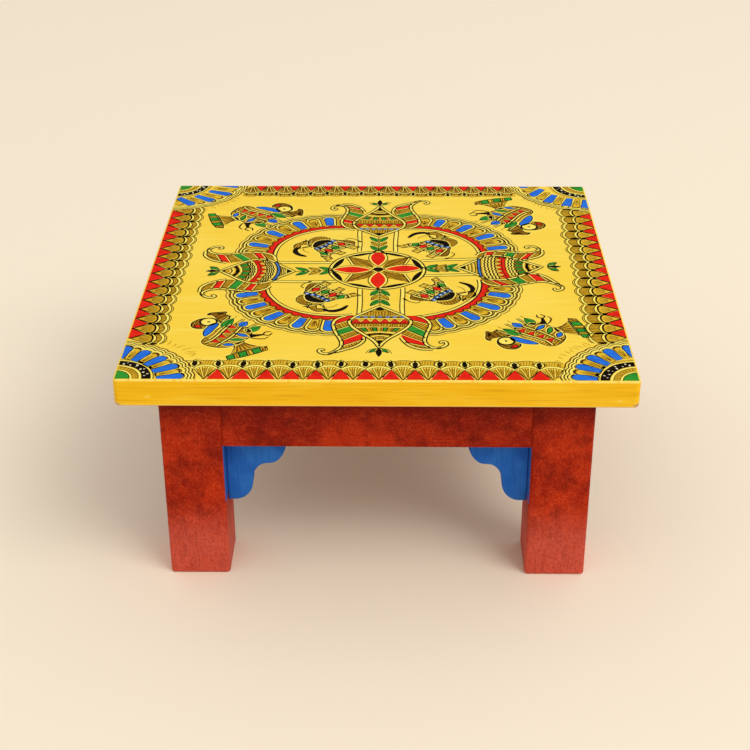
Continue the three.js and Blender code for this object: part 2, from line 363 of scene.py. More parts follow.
ground = ground_paint()
legs_stain = stained_wood("stained_legs", 2, 0)
long_rail_stain = stained_wood("stained_rails_across", 0, 21)
side_rail_stain = stained_wood("stained_rails_back", 1, 43)
bracket_blue = bracket_paint()
wood_finish = plain_wood()
steel_finish = screw_steel()

# Each paint of the drawing: how far it stands off the wood in mm, and its colours
PAINTS = {
    "olive": (0.02, (208, 162, 34), (224, 180, 48), (182, 136, 22)),
    "amber": (0.03, (228, 182, 42), (242, 200, 60), (204, 154, 28)),
    "red": (0.04, (230, 36, 18), (238, 58, 30), (204, 24, 14)),
    "blue": (0.04, (38, 112, 218), (66, 136, 228), (28, 88, 196)),
    "green": (0.04, (44, 146, 46), (80, 168, 58), (26, 114, 34)),
    "umber": (0.05, (112, 68, 10), (138, 90, 20), (84, 48, 6)),
    "pale": (0.065, (255, 230, 100), (255, 238, 130), (252, 218, 78)),
    "black": (0.08, (22, 13, 3), (46, 28, 8), (12, 7, 2)),
    "bead": (0.09, (56, 112, 184), (120, 160, 196), (34, 84, 156)),
    "dots": (0.1, (240, 232, 190), (250, 244, 208), (214, 202, 150)),
}
PAINT_BED = 0.15  # how deep a coat's underside sits in the wood
UPPER = 0.1  # how far the motifs that lie over others are raised
paints = {
    name: brushed_paint("paint_" + name, *colours)
    for name, (_, *colours) in PAINTS.items()
}


# Drawing, on a plan seen from above. A point is a complex number, x + y j in mm
# from the middle of the top, x to the right and y to the back.

FINE = 0.95  # width of a thin line
STROKE = 0.6  # width of a hatching stroke
OVERRUN = 3.0  # how far a patch runs past the slab's edge before it is cut
hand = random.Random(5)
noise.seed_set(5)


def placed(points, at=0, turn=0, size=1, mirrored=False):
    spin = cmath.rect(size, math.radians(turn))
    return [at + spin * (-point.conjugate() if mirrored else point) for point in points]


def smooth(points, closed=False, steps=4):
    """A curve through the points, each span cut into steps."""
    count = len(points)
    found = []
    for k in range(count if closed else count - 1):
        if closed:
            a, b, c, d = (points[(k + i - 1) % count] for i in range(4))
        else:
            a, b, c, d = (points[min(max(k + i - 1, 0), count - 1)] for i in range(4))
        for t in (step / steps for step in range(steps)):
            square = 2 * a - 5 * b + 4 * c - d
            found.append(b + ((c - a) * t + square * t**2 + (3 * b - a - 3 * c + d) * t**3) / 2)
    return found if closed else found + [points[-1]]


def blob(*points, steps=3):
    """A smooth closed outline through the points."""
    return smooth(points, True, steps)


def opposite(points):
    """The points on the other side of the middle line, in the opposite order."""
    return [-point.conjugate() for point in reversed(points)]


def both_sides(side):
    """A closed outline from its right side, which starts and ends on the middle line."""
    return side + opposite(side[1:-1])


def arc(centre, radius, start, stop, step=2.5, flat=1):
    """Points on a circle, about step mm apart. Flat is the share of its height that is left."""
    sweep = math.radians(stop - start)
    count = max(4, math.ceil(abs(sweep) * radius / step))
    angles = (math.radians(start) + sweep * k / count for k in range(count + 1))
    return [centre + complex(radius * math.cos(a), flat * radius * math.sin(a)) for a in angles]


def ring(centre, radius, step, flat=1):
    return arc(centre, radius, 0, 360, step, flat)[:-1]


def lens(length, width, at, turn=0, steps=7, lean=1):
    """A pointed oval, upright before it turns. Lean over 1 puts its widest place nearer the tip."""
    side = [
        complex(width / 2 * math.sin(math.pi * (k / steps) ** lean), length * (k / steps - 0.5))
        for k in range(steps + 1)
    ]
    return placed(both_sides(side), at, turn)


def finger(length, base, tip):
    """A long patch that stands on its narrow end, rounded at the other."""
    cap = arc(complex(0, length - tip / 2), tip / 2, 0, 180, step=tip / 6)
    return [complex(base / 2, 0), *cap, complex(-base / 2, 0)]


def ways(path, closed):
    """The direction of a path at each of its points."""
    count = len(path)
    found = []
    for i in range(count):
        before = path[i - 1] if closed or i else path[0]
        after = path[(i + 1) % count] if closed or i < count - 1 else path[-1]
        found.append((after - before) / max(abs(after - before), 1e-9))
    return found


def beside(path, by, closed=False):
    """The path moved to the right of its run, which is outwards from an anticlockwise outline."""
    return [point - 1j * way * by for point, way in zip(path, ways(path, closed))]


def anticlockwise(outline):
    area = sum((a.conjugate() * b).imag for a, b in zip(outline, outline[1:] + outline[:1]))
    return outline if area > 0 else outline[::-1]


def spaced(path, step):
    """The same path with points about step mm apart."""
    found = [path[0]]
    for a, b in zip(path, path[1:]):
        count = max(1, round(abs(b - a) / step))
        found += [a + (b - a) * k / count for k in range(1, count + 1)]
    return found


class Drawing:
    """Flat patches, gathered by paint."""

    def __init__(self):
        self.coats = {}

    def lay(self, paint, points, faces):
        held = self.coats.setdefault(paint, ([], []))
        first = len(held[0])
        held[0].extend(points)
        held[1].extend([first + i for i in face] for face in faces)

    def fill(self, paint, outline):
        self.lay(paint, outline, [range(len(outline))])

    def between(self, paint, right, left, closed=False):
        """A strip between two lines of as many points."""
        count = len(right)
        spans = [(i, (i + 1) % count) for i in range(count if closed else count - 1)]
        self.lay(paint, right + left, [(i, j, count + j, count + i) for i, j in spans])

    def line(self, paint, path, width, closed=False, ends=1.0):
        """A line along a path, narrowed at its ends to that share."""
        last = len(path) - 1
        swells = (math.sin(math.pi * i / last) ** 0.6 for i in range(last + 1))
        half = [width / 2 * (ends + (1 - ends) * swell) for swell in swells]
        sides = [-1j * way * h for way, h in zip(ways(path, closed), half)]
        right = [point + side for point, side in zip(path, sides)]
        left = [point - side for point, side in zip(path, sides)]
        self.between(paint, right, left, closed)

    def shape(self, paint, outline, halo=0.0, ink=FINE):
        """A filled patch in ink, inside a pale edge where halo gives its width."""
        outline = anticlockwise(outline)
        self.fill(paint, outline)
        self.line("black", outline, ink, closed=True)
        if halo:
            self.line("pale", beside(outline, (halo + ink) / 2, True), halo, closed=True)

    def hatch(self, outline, turn, pitch=2.1, width=0.8):
        """Strokes at one angle inside an outline, as uneven as a hand's."""
        inset, shortest = 0.3, 0.9
        flat = placed(outline, turn=-turn)
        y = min(p.imag for p in flat) + pitch * hand.uniform(0.4, 0.8)
        top = max(p.imag for p in flat)
        while y < top:
            met = []
            for p, q in zip(flat, flat[1:] + flat[:1]):
                if (p.imag > y) != (q.imag > y):
                    met.append(p.real + (q.real - p.real) * (y - p.imag) / (q.imag - p.imag))
            met.sort()
            for start, stop in zip(met[::2], met[1::2]):
                start += inset + hand.uniform(0, 0.5)
                stop -= inset + hand.uniform(0, 0.5)
                if stop - start > shortest:
                    lean = hand.uniform(-0.2, 0.2)
                    stroke = [complex(start, y - lean), complex(stop, y + lean)]
                    self.line("umber", placed(stroke, turn=turn), width * hand.uniform(0.8, 1.2))
            y += pitch * hand.uniform(0.75, 1.25)

    def hatched(self, outline, halo, ink, turn, pitch, width, shrink=1.0):
        """An olive patch with strokes over it, which shrink keeps off its edge."""
        self.shape("olive", outline, halo, ink)
        self.hatch([point * shrink for point in outline], turn, pitch, width)

    def rays(self, foot, heads, width=0.55, start=0.15):
        """Strokes from near one foot to each head."""
        for head in heads:
            self.line("umber", [foot + (head - foot) * start, head], width)

    def stamp(self, motif, at=0, turn=0, size=1, mirrored=False):
        for paint, (points, faces) in motif.coats.items():
            self.lay(paint, placed(points, at, turn, size, mirrored), faces)


# Geometry Nodes: a motif stamped along a line

def stamping_tree():
    """Copies of a motif, evenly spaced on a line and turned with it, each a little its own."""
    tree = bpy.data.node_groups.new("stamps_on_a_line", "GeometryNodeTree")
    graph = Graph(tree)
    kinds = {
        "Motif": "NodeSocketObject",
        "Line": "NodeSocketObject",
        "Count": "NodeSocketInt",
        "Size wander": "NodeSocketFloat",
        "Turn wander": "NodeSocketFloat",
        "Seed": "NodeSocketInt",
        "Paint": "NodeSocketMaterial",
    }
    inputs = {
        name: tree.interface.new_socket(name, in_out="INPUT", socket_type=kind).identifier
        for name, kind in kinds.items()
    }
    tree.interface.new_socket("Stamps", in_out="OUTPUT", socket_type="NodeSocketGeometry")

    def given(name):
        return graph.node("NodeGroupInput", output=name)

    def wander(name):
        ends = {2: -1.0, 3: 1.0, "ID": graph.node("GeometryNodeInputIndex"), "Seed": given("Seed")}
        spread = graph.node("FunctionNodeRandomValue", {"data_type": "FLOAT"}, ends, output=1)
        return spread * given(name)

    motif = graph.node("GeometryNodeObjectInfo", values={0: given("Motif")}, output="Geometry")
    line = graph.node("GeometryNodeObjectInfo", values={0: given("Line")}, output="Geometry")
    places = {"Curve": line, "Count": given("Count")}
    points = graph.node("GeometryNodeCurveToPoints", {"mode": "COUNT"}, places)
    run = Wire(graph, points.socket.node.outputs["Tangent"])
    level = {"axis": "X", "pivot_axis": "Z"}
    facing = graph.node("FunctionNodeAlignRotationToVector", level, {"Vector": run})
    stray = {"Axis": (0, 0, 1), "Angle": wander("Turn wander")}
    stray = graph.node("FunctionNodeAxisAngleToRotation", values=stray)
    facing = graph.node("FunctionNodeRotateRotation", values={"Rotation": facing, "Rotate By": stray})
    copies = {"Points": points, "Instance": motif, "Rotation": facing, "Scale": 1 + wander("Size wander")}
    copies = graph.node("GeometryNodeInstanceOnPoints", values=copies)
    real = graph.node("GeometryNodeRealizeInstances", values={"Geometry": copies})
    coated = graph.node("GeometryNodeSetMaterial", values={"Geometry": real, "Material": given("Paint")})
    graph.node("NodeGroupOutput", values={"Stamps": coated})
    return tree, inputs


stamps_tree, stamp_inputs = stamping_tree()


def flat_mesh(points, faces):
    mesh = bpy.data.meshes.new("flat")
    mesh.from_pydata([(p.real, p.imag, 0) for p in points], [], faces)
    return mesh


def path_object(path):
    data = bpy.data.curves.new("path", "CURVE")
    data.dimensions = "3D"
    spline = data.splines.new("POLY")
    spline.points.add(len(path) - 1)
    for point, place in zip(spline.points, path):
        point.co = (place.real, place.imag, 0, 1)
    return add_object("path", data)


def stamp_along(drawing, motif, path, count, seed, size_wander=0.03, turn_wander=0.02, keep=None):
    """Stamps the motif along a path, its x with the run and its y to the left of it."""
    line = path_object(path)
    for paint, (points, faces) in motif.coats.items():
        source = add_object("motif", flat_mesh(points, faces))
        host = add_object("host", bpy.data.meshes.new("host"))
        modifier = host.modifiers.new("stamps", "NODES")
        modifier.node_group = stamps_tree
        given = {
            "Motif": source,
            "Line": line,
            "Count": count,
            "Size wander": size_wander,
            "Turn wander": turn_wander,
            "Seed": seed,
            "Paint": paints[paint],
        }
        for name, value in given.items():
            modifier[stamp_inputs[name]] = value
        shown = host.evaluated_get(bpy.context.evaluated_depsgraph_get())
        mesh = bpy.data.meshes.new_from_object(shown)
        host.modifiers.clear()
        found = [complex(v.co.x, v.co.y) for v in mesh.vertices]
        patches = [list(face.vertices) for face in mesh.polygons]
        if keep:
            patches = [patch for patch in patches if keep(sum(found[i] for i in patch) / len(patch))]
        drawing.lay(paint, found, patches)
        bpy.data.objects.remove(host)
        bpy.data.objects.remove(source)
        bpy.data.meshes.remove(mesh)
    bpy.data.objects.remove(line)


# The top's drawing

art = Drawing()
over = Drawing()  # the motifs that lie over others
CORNERS = [complex(x, y) for x, y in ((-EDGE, -DEEP), (EDGE, -DEEP), (EDGE, DEEP), (-EDGE, DEEP))]
ROSETTES = (57.5, 57.5, 61, 60.5)  # reach of each corner's rosette, where the borders end


def outside_rosettes(point):
    return min(abs(point - corner) - reach for corner, reach in zip(CORNERS, ROSETTES)) > 0


def flame(half, apex, root=0.0, seed_at=None, seed=3.5):
    """A red tooth on the edge, joined to the next one up to its root, with a black seed over it."""
    motif = Drawing()
    waist = complex(half * 0.48, root + (apex - root) * 0.52)
    side = [complex(half, -OVERRUN), complex(half, root), waist]
    motif.shape("red", side + [complex(0, apex)] + opposite(side))
    if seed_at:
        eye = complex(0, seed_at)
        rim = lens(seed * 3, seed * 1.9, eye)
        motif.fill("pale", rim)
        motif.line("black", rim, STROKE, closed=True)
        motif.fill("black", ring(eye, seed * 0.5, 0.7, flat=2))
    return motif


def scallop(half, low, high):
    """One arch of a scalloped line."""
    steps = [k / 6 - 1 for k in range(13)]
    return [complex(half * s, low + (high - low) * (1 - s * s) ** 1.1) for s in steps]


def edged(motif, path, width, ink, paint="black"):
    """A pale line between two dark ones."""
    motif.line("pale", path, width)
    for way in (-1, 1):
        motif.line(paint, beside(path, way * (width + ink) / 2), ink)


def fan(half, tooth, apex, crest, depth, weight=1.0, pale=2.4):
    """A ribbed fan between two teeth, an arch over it and a hatched lobe over the arch."""
    motif = Drawing()
    thin = 0.55 * weight
    arch = scallop(half, apex + 1.2, crest)
    side = [complex(max(half - tooth * (1 - y / apex) - 0.9, 0.5), y) for y in (-OVERRUN, 0, apex)]
    under = [p * (1 - 1.2 / half) - 0.6j for p in arch]
    motif.fill("olive", side + under[-2:0:-1] + opposite(side))
    for k in range(8):
        share = 2 * k / 7 - 1
        head = complex(half * 0.8 * share, crest - 1.6 - 4 * share * share)
        rib = [head * 0.3, head * 0.65 - 0.4 * share, head]
        motif.line("umber", rib, thin)
        if k % 3 == 1:
            motif.line("pale", beside(rib, 0.9), 0.6)
    for way in (-1, 1):
        motif.line("pale", [complex(way * (p.real + 0.1), p.imag) for p in side], 0.7)
    floor = [p + 1.4j for p in arch]
    roof = scallop(half, depth - 2.2, depth)
    motif.fill("amber", floor + roof[::-1])
    lean = hand.uniform(0.2, 1.2)
    tall = depth - crest - 2.4
    for k in range(7):
        share = 0.22 * (k - 3)
        foot = complex(share * half, crest + 1.8 - 3.4 * share * share)
        motif.line("umber", [foot, foot + complex(lean, tall * hand.uniform(0.5, 1))], 0.5 * weight)
    for way in (-1, 1):
        bend = ((2.4, crest), (4.2, crest + 3), (3.6, depth - 1.8))
        motif.line("umber", [complex(way * (half - x), y) for x, y in bend], 1.3, ends=0.3)
    motif.line("black", roof, STROKE)
    motif.line("pale", [p + 0.9j for p in roof], 0.9)
    edged(motif, arch, pale, thin)
    return motif


def pod(paint, half, tip, low, high, wave_low, wave_high):
    """A pointed pod between two teeth, a scalloped line, a row of cells and a wavy line."""
    motif = Drawing()
    end = high - 2
    profile = ((0, 0), (0.2, 0.16), (0.46, 0.4), (0.7, 0.64), (0.8, 0.82), (0.6, 0.97), (0, 1.02))
    side = smooth([complex(half * x, tip + (end - tip) * y) for x, y in profile], steps=2)
    motif.shape(paint, both_sides(side), halo=0.5)
    for share in (-0.42, -0.14, 0.14, 0.42):
        head = complex(half * share, end - 1.4 - 3 * abs(share))
        motif.line("umber", [complex(half * share * 0.5, tip + (end - tip) * 0.4), head], 0.6)
    arch = scallop(half, low, high)
    wave = scallop(half, wave_low, wave_high)
    motif.fill("olive", [p + 0.8j for p in arch] + [p - 0.8j for p in wave][::-1])
    for way in (-1, 1):
        motif.fill("black", lens(4, 3, complex(way * half, low - 2.2), steps=3))
        spot = complex(way * half, (low + wave_low) / 2 + 0.4)
        motif.fill("black", ring(spot, 1.7, 0.9, flat=(wave_low - low) / 4.4))
    for share in (-0.6, -0.3, 0, 0.3, 0.55):
        start = complex(half * share, high + 1.4 - 2 * abs(share))
        motif.line("umber", [start, complex(half * share + 0.5, wave_high - 1.8)], 0.75)
    edged(motif, arch, 2, 0.7)
    edged(motif, wave, 1.8, 0.65)
    motif.line("black", [p + 2.6j for p in wave], STROKE)
    return motif


def border(side, middle, pitch, tooth, filler, seed):
    """One edge's border: teeth on the edge and fillers between them, travelling anticlockwise."""
    turn = 90 * SIDES.index(side)
    reach = EDGE if side in ("left", "right") else DEEP
    count = 15  # enough to pass under the corner flowers, where the rest is cut off
    half_run = pitch * (count - 1) / 2
    ahead = middle * (1 if side in ("front", "right") else -1)
    run = [complex(ahead - half_run, -reach), complex(ahead + half_run, -reach)]
    longer = [run[0] - pitch / 2, run[1] + pitch / 2]
    stamp_along(art, filler, placed(longer, turn=turn), count + 1, seed, keep=outside_rosettes)
    stamp_along(art, tooth, placed(run, turn=turn), count, seed + 1, keep=outside_rosettes)


def borders():
    front, back, left, right = 18, 15.87, 16.9, 16.4  # from one tooth to the next
    tooth = flame(8.9, apex=16.6, root=1.4, seed_at=24.4, seed=4.1)
    filler = fan(front / 2, tooth=8.9, apex=16.6, crest=22, depth=30.4, weight=0.85)
    border("front", -7.6, front, tooth, filler, 101)
    tooth = flame(6.3, apex=14.4, seed_at=21.8, seed=3.2)
    filler = fan(back / 2, tooth=6.3, apex=14.4, crest=19.8, depth=27.6, weight=1.9, pale=1.7)
    border("back", -1.95, back, tooth, filler, 103)
    filler = pod("olive", left / 2, tip=3.4, low=17.4, high=21.6, wave_low=25, wave_high=28)
    border("left", 0.7, left, flame(left / 2, apex=14.6, root=2.6), filler, 105)
    filler = pod("amber", right / 2, tip=1.6, low=15.6, high=19, wave_low=26, wave_high=29)
    border("right", 0.9, right, flame(right / 2, apex=13.6, root=0.6), filler, 107)


def wavy(radius, start, stop, swell, beat, phase):
    """A scalloped line round a centre: one arch a beat, in degrees, with a cusp between two arches."""
    found = []
    for k in range(131):
        angle = start + (stop - start) * k / 130
        lift = abs(math.cos(math.pi * (angle - phase) / beat)) ** 0.75
        found.append(cmath.rect(radius + swell * lift, math.radians(angle)))
    return found


def rosette_petal(paint, stretch=1.0):
    motif = Drawing()
    petal = finger(19.6 * stretch, 5.8, 9) if paint == "blue" else finger(18.8 * stretch, 4.2, 7.2)
    motif.shape(paint, petal, halo=0.8 if paint == "blue" else 0, ink=0.6)
    if paint != "blue":
        motif.line("umber", beside(petal[2:-2], -0.7), 1.4, ends=0.3)
        motif.rays(0j, [complex(x, 14 - abs(x)) for x in (-1.7, 0.2, 1.9)], start=0.25)
    return motif


QUARTER = (-4, 94)  # the angles of a corner flower, a little past the quarter at both ends
HUB_BANDS = (
    ("black", 13.2, 13.8), ("pale", 13.8, 15.4), ("black", 15.4, 15.9), ("olive", 15.9, 20.2),
    ("black", 20, 20.5), ("pale", 20.5, 22.4), ("black", 22.7, 29.6), ("pale", 29.8, 31.2),
    ("black", 31.2, 31.8), ("amber", 31.8, 34),
)


def rosette_hub(quarter, hub, seed):
    """The green heart of a corner flower, the bands round it, and the dots on the black one."""
    quarter.fill("green", [-1.5 - 1.5j, *arc(0, 13.2, *QUARTER)])
    for paint, inner, outer in HUB_BANDS:
        quarter.line(paint, arc(0, hub * (inner + outer) / 2, *QUARTER, step=2), outer - inner)
    for angle in range(*QUARTER, 9):
        way = cmath.rect(1, math.radians(angle))
        quarter.line("umber", [16.4 * way, 19.6 * way], STROKE)
    dot = Drawing()
    dot.fill("dots", ring(0, 0.62, step=0.5, flat=1.6))
    for radius, count in ((24.8 * hub, 8), (27.4 * hub, 6)):
        path = arc(0, radius, 91, -1)
        stamp_along(quarter, dot, path, count, seed + count, size_wander=0.5, turn_wander=0.7)


def rosette_crown(foot, beat, first, weight):
    """The scalloped lines outside the petals, about the middle that these have."""
    crown = Drawing()
    crown.line("olive", arc(0, foot + 22.6, *QUARTER, step=2), 6 * weight)
    crown.line("amber", arc(0, foot + 26.2, *QUARTER, step=2), 1.6)
    for reach, swell, width, ink in ((18.9, 2.2, 2.2, 0.7), (22, 1.9, 1.3, 0.85), (24.6, 1.7, 1.2, 0.7)):
        edged(crown, wavy(foot + reach, *QUARTER, swell, beat, first), width, ink * weight, "umber")
    crown.line("umber", wavy(foot + 26.6, *QUARTER, 1.2, beat, first), STROKE * weight)
    return crown


def rosette(blues, seed, off, spread, hub=1.0, weight=1.0, splay=None):
    """A quarter flower on a corner, with its edges along x and y.

    Its petals and outer lines lie round a middle of their own, off the corner, on a circle that
    much wider. A splay holds their lean from x at both ends, how much farther out they start at the
    first one, and their stretch, so they stand on the hub and lie more alike.
    """
    quarter = Drawing()
    rosette_hub(quarter, hub, seed)
    first, last, count = blues
    beat = (last - first) / (count - 1)
    foot = 33 + spread
    if splay:
        near, far, lift, stretch = splay
        petals = [rosette_petal(paint, stretch) for paint in ("amber", "blue")]
        for k in range(2 * count + 1):
            share = (k - 1) / (2 * count - 2)
            reach = hub * 34.5 + lift * max(1 - share, 0) ** 2.2
            at = cmath.rect(reach, math.radians(first + (last - first) * share))
            quarter.stamp(petals[k % 2], at, near + (far - near) * share - 90)
    else:
        longer = arc(off, foot, last + beat / 2, first - beat / 2)
        stamp_along(quarter, rosette_petal("amber"), longer, count + 1, seed + 3)
        path = arc(off, foot, last, first)
        stamp_along(quarter, rosette_petal("blue"), path, count, seed + 4, turn_wander=0.03)
    quarter.stamp(rosette_crown(foot, beat / 2, first, weight), off)
    for k in range(9):
        way = cmath.rect(1, math.radians(29 + 4.1 * k + hand.uniform(-1, 1)))
        bend = way * cmath.rect(1, hand.uniform(-0.06, 0.06))
        quarter.line("olive", [63 * way, 66 * way, (68 + 3 * hand.random()) * bend], 1.2, ends=0.4)
    return quarter


def rosettes():
    front_left = rosette((13.3, 77.4, 5), seed=201, off=-9 - 9j, spread=9, hub=0.94)
    front_right = rosette((7.4, 77.6, 5), seed=221, off=-9 - 2j, spread=7)
    back_right = rosette((-14, 87, 5), 241, -4 - 12j, 15, weight=1.2, splay=(47, 84, 12, 1.1))
    back_left = rosette((-2, 84, 4), 261, -4j, 4.4, hub=0.94, weight=1.2, splay=(10, 48, 3, 1.14))
    art.stamp(front_left, CORNERS[0] + 0.8j)
    art.stamp(front_right, CORNERS[1] + 0.6j, mirrored=True)
    art.stamp(back_right, CORNERS[2], turn=180)
    art.stamp(back_left, CORNERS[3], turn=180, mirrored=True)


# Each lobe: its middle, radius, the angles where it starts and stops, and its first
# and last blue petals with their number
LOBES = (
    (-35.2 + 32.9j, 55.2, 75, 197, (98.1, 165.5, 4)),
    (29.1 + 30.6j, 57.3, -11, 99, (12.1, 71.9, 4)),
    (18.7 - 24j, 65.4, -88, 5, (-65.1, -16.6, 4)),
    (-35.8 - 31.3j, 55.7, 170, 287, (193.2, 268.6, 5)),
)


def ring_petal(paint):
    motif = Drawing()
    petal = finger(17.8, 6.4, 8.4) if paint == "blue" else finger(17.4, 5.6, 8.4)
    motif.shape(paint, petal, ink=0.6)
    motif.line("pale", beside(petal, 1.1, True)[:-1], 1.7)
    motif.line("black", beside(petal, 2.3, True)[:-1], FINE)
    if paint != "blue":
        motif.line("umber", beside(petal[2:-2], -0.9), 1.7, ends=0.3)
        motif.rays(0j, [complex(x, 12.4 - abs(x)) for x in (-2.6, -0.8, 1, 2.8)], width=0.8, start=0.2)
    return motif


def lobe(middle, radius, start, stop, blues, seed):
    """One lobe of the four-lobed field: its rim, the red scallops, the petals and the outer lines."""
    for paint, inset, width in (("black", 0, 1.3), ("pale", 1.6, 2.0), ("black", 3, 0.9)):
        art.line(paint, arc(middle, radius - inset, start, stop, step=3), width)
    beats = round(math.radians(stop - start) * (radius + 5) / 9)
    shares = [k / (6 * beats) for k in range(6 * beats + 1)]
    angles = [math.radians(start + (stop - start) * share) for share in shares]
    bumps = [radius + 3.6 + 2.6 * abs(math.sin(math.pi * beats * share)) ** 0.8 for share in shares]
    inner = [middle + cmath.rect(radius + 0.4, angle) for angle in angles]
    outer = [middle + cmath.rect(reach, angle) for reach, angle in zip(bumps, angles)]
    art.between("red", outer, inner)
    art.line("black", outer, 1.1)
    first, last, count = blues
    beat = (last - first) / (count - 1)
    low, high = first - beat * 0.8, last + beat * 0.8
    bed = math.radians(low), math.radians(high)
    steps = [bed[0] + (bed[1] - bed[0]) * k / 60 for k in range(61)]

    def bedded(reach):
        return [middle + cmath.rect(radius + reach, angle) for angle in steps]

    art.between("olive", bedded(28), bedded(2.6))
    foot = radius + 7.4
    longer = arc(middle, foot, last + beat / 2, first - beat / 2)
    stamp_along(art, ring_petal("amber"), longer, count + 1, seed)
    stamp_along(art, ring_petal("blue"), arc(middle, foot, last, first), count, seed + 1, turn_wander=0.03)
    art.between("amber", bedded(31.6), bedded(27.6))
    for reach, swell, paint in ((26.6, 2, "black"), (30.2, 1.7, "umber")):
        path = [middle + p for p in wavy(radius + reach, low, high, swell, beat / 2, first)]
        edged(art, path, 1.4, 0.85, paint)


def star_facet(heart, across, up):
    """One arm of the star, hatched and shaded along one side, in the quarter that across and up give."""
    def corner(x, y):
        return heart + complex(across * x, up * y)

    facet = [corner(2.5, 2.5), corner(21, 9), corner(26.6, 25.6), corner(8, 17)]
    art.fill("olive", facet)
    art.hatch(facet, turn=math.degrees(cmath.phase(corner(26, 26) - heart)), pitch=1.9, width=1)
    art.line("umber", [corner(3, 3), corner(26, 25.4)], 0.9)
    art.line("umber", [corner(8, 17), corner(26, 25.8)], 0.7)
    art.line("pale", [corner(21.6, 9), corner(26.8, 25)], 1.5)
    art.line("black", [corner(20.4, 9), corner(25.8, 25.6)], FINE)
    art.line("black", [corner(22.9, 9), corner(27.6, 24.4)], 0.7)


def medallion():
    """The round middle: a red cross of four petals on a hatched star."""
    round_middle, flat = -1.3 + 0.2j, 0.938
    for paint, radius, width in (("black", 40.4, 1.2), ("pale", 38.9, 2.2), ("black", 37.4, 0.85)):
        art.line(paint, ring(round_middle, radius, 3, flat), width, closed=True)
    heart = -0.7 + 1.6j
    for across, up in ((1, 1), (-1, 1), (-1, -1), (1, -1)):
        star_facet(heart, across, up)
        for way in (-1, 1):
            angle = cmath.phase(complex(across, up)) + way * math.radians(23)
            centre = round_middle + complex(35.4 * math.cos(angle), 35.4 * flat * math.sin(angle))
            crescent = lens(22.5, 2.2 + 1.6 * abs(math.cos(angle)), centre, math.degrees(angle), steps=8)
            art.line("pale", crescent, 1.6, closed=True)
            art.shape("black", crescent)
    for turn, place in ((0, 22.8j), (90, -1 + 21.6j), (180, 21.2j), (275, 21.2j)):
        petal = placed(lens(31.5, 12.2, place, steps=12), heart, turn)
        art.fill("red", petal)
        art.line("pale", beside(petal, 0.8, True), 1.6, closed=True)
        art.line("black", beside(petal, 1.95, True), 0.85, closed=True)
    art.fill("black", ring(heart, 4.1, 1.2))
    art.line("pale", ring(heart, 4.9, 1.5), 0.9, closed=True)


def almond(drawing, paint, length, width, at, turn):
    """A leaf with its foot at a place, a fine rib along it and ink round it."""
    leaf = Drawing()
    leaf.shape(paint, lens(length, width, complex(0, length / 2), lean=0.85), halo=0.5, ink=STROKE)
    leaf.line("black", [0.8j, complex(0.2, length * 0.55), complex(0, length - 1)], STROKE)
    drawing.stamp(leaf, at, turn)


def sprig(foot, tip):
    """A stem from the middle to a bud, with three pairs of leaves."""
    run = tip - foot
    turn = math.degrees(cmath.phase(run)) - 90
    art.line("black", spaced([foot, tip], 5), 0.8)
    for share, paint, length in ((0.0, "green", 14), (0.3, "olive", 13), (0.6, "green", 14.5)):
        for side in (-1, 1):
            almond(art, paint, length, 5.4, foot + run * share, turn - side * 34)


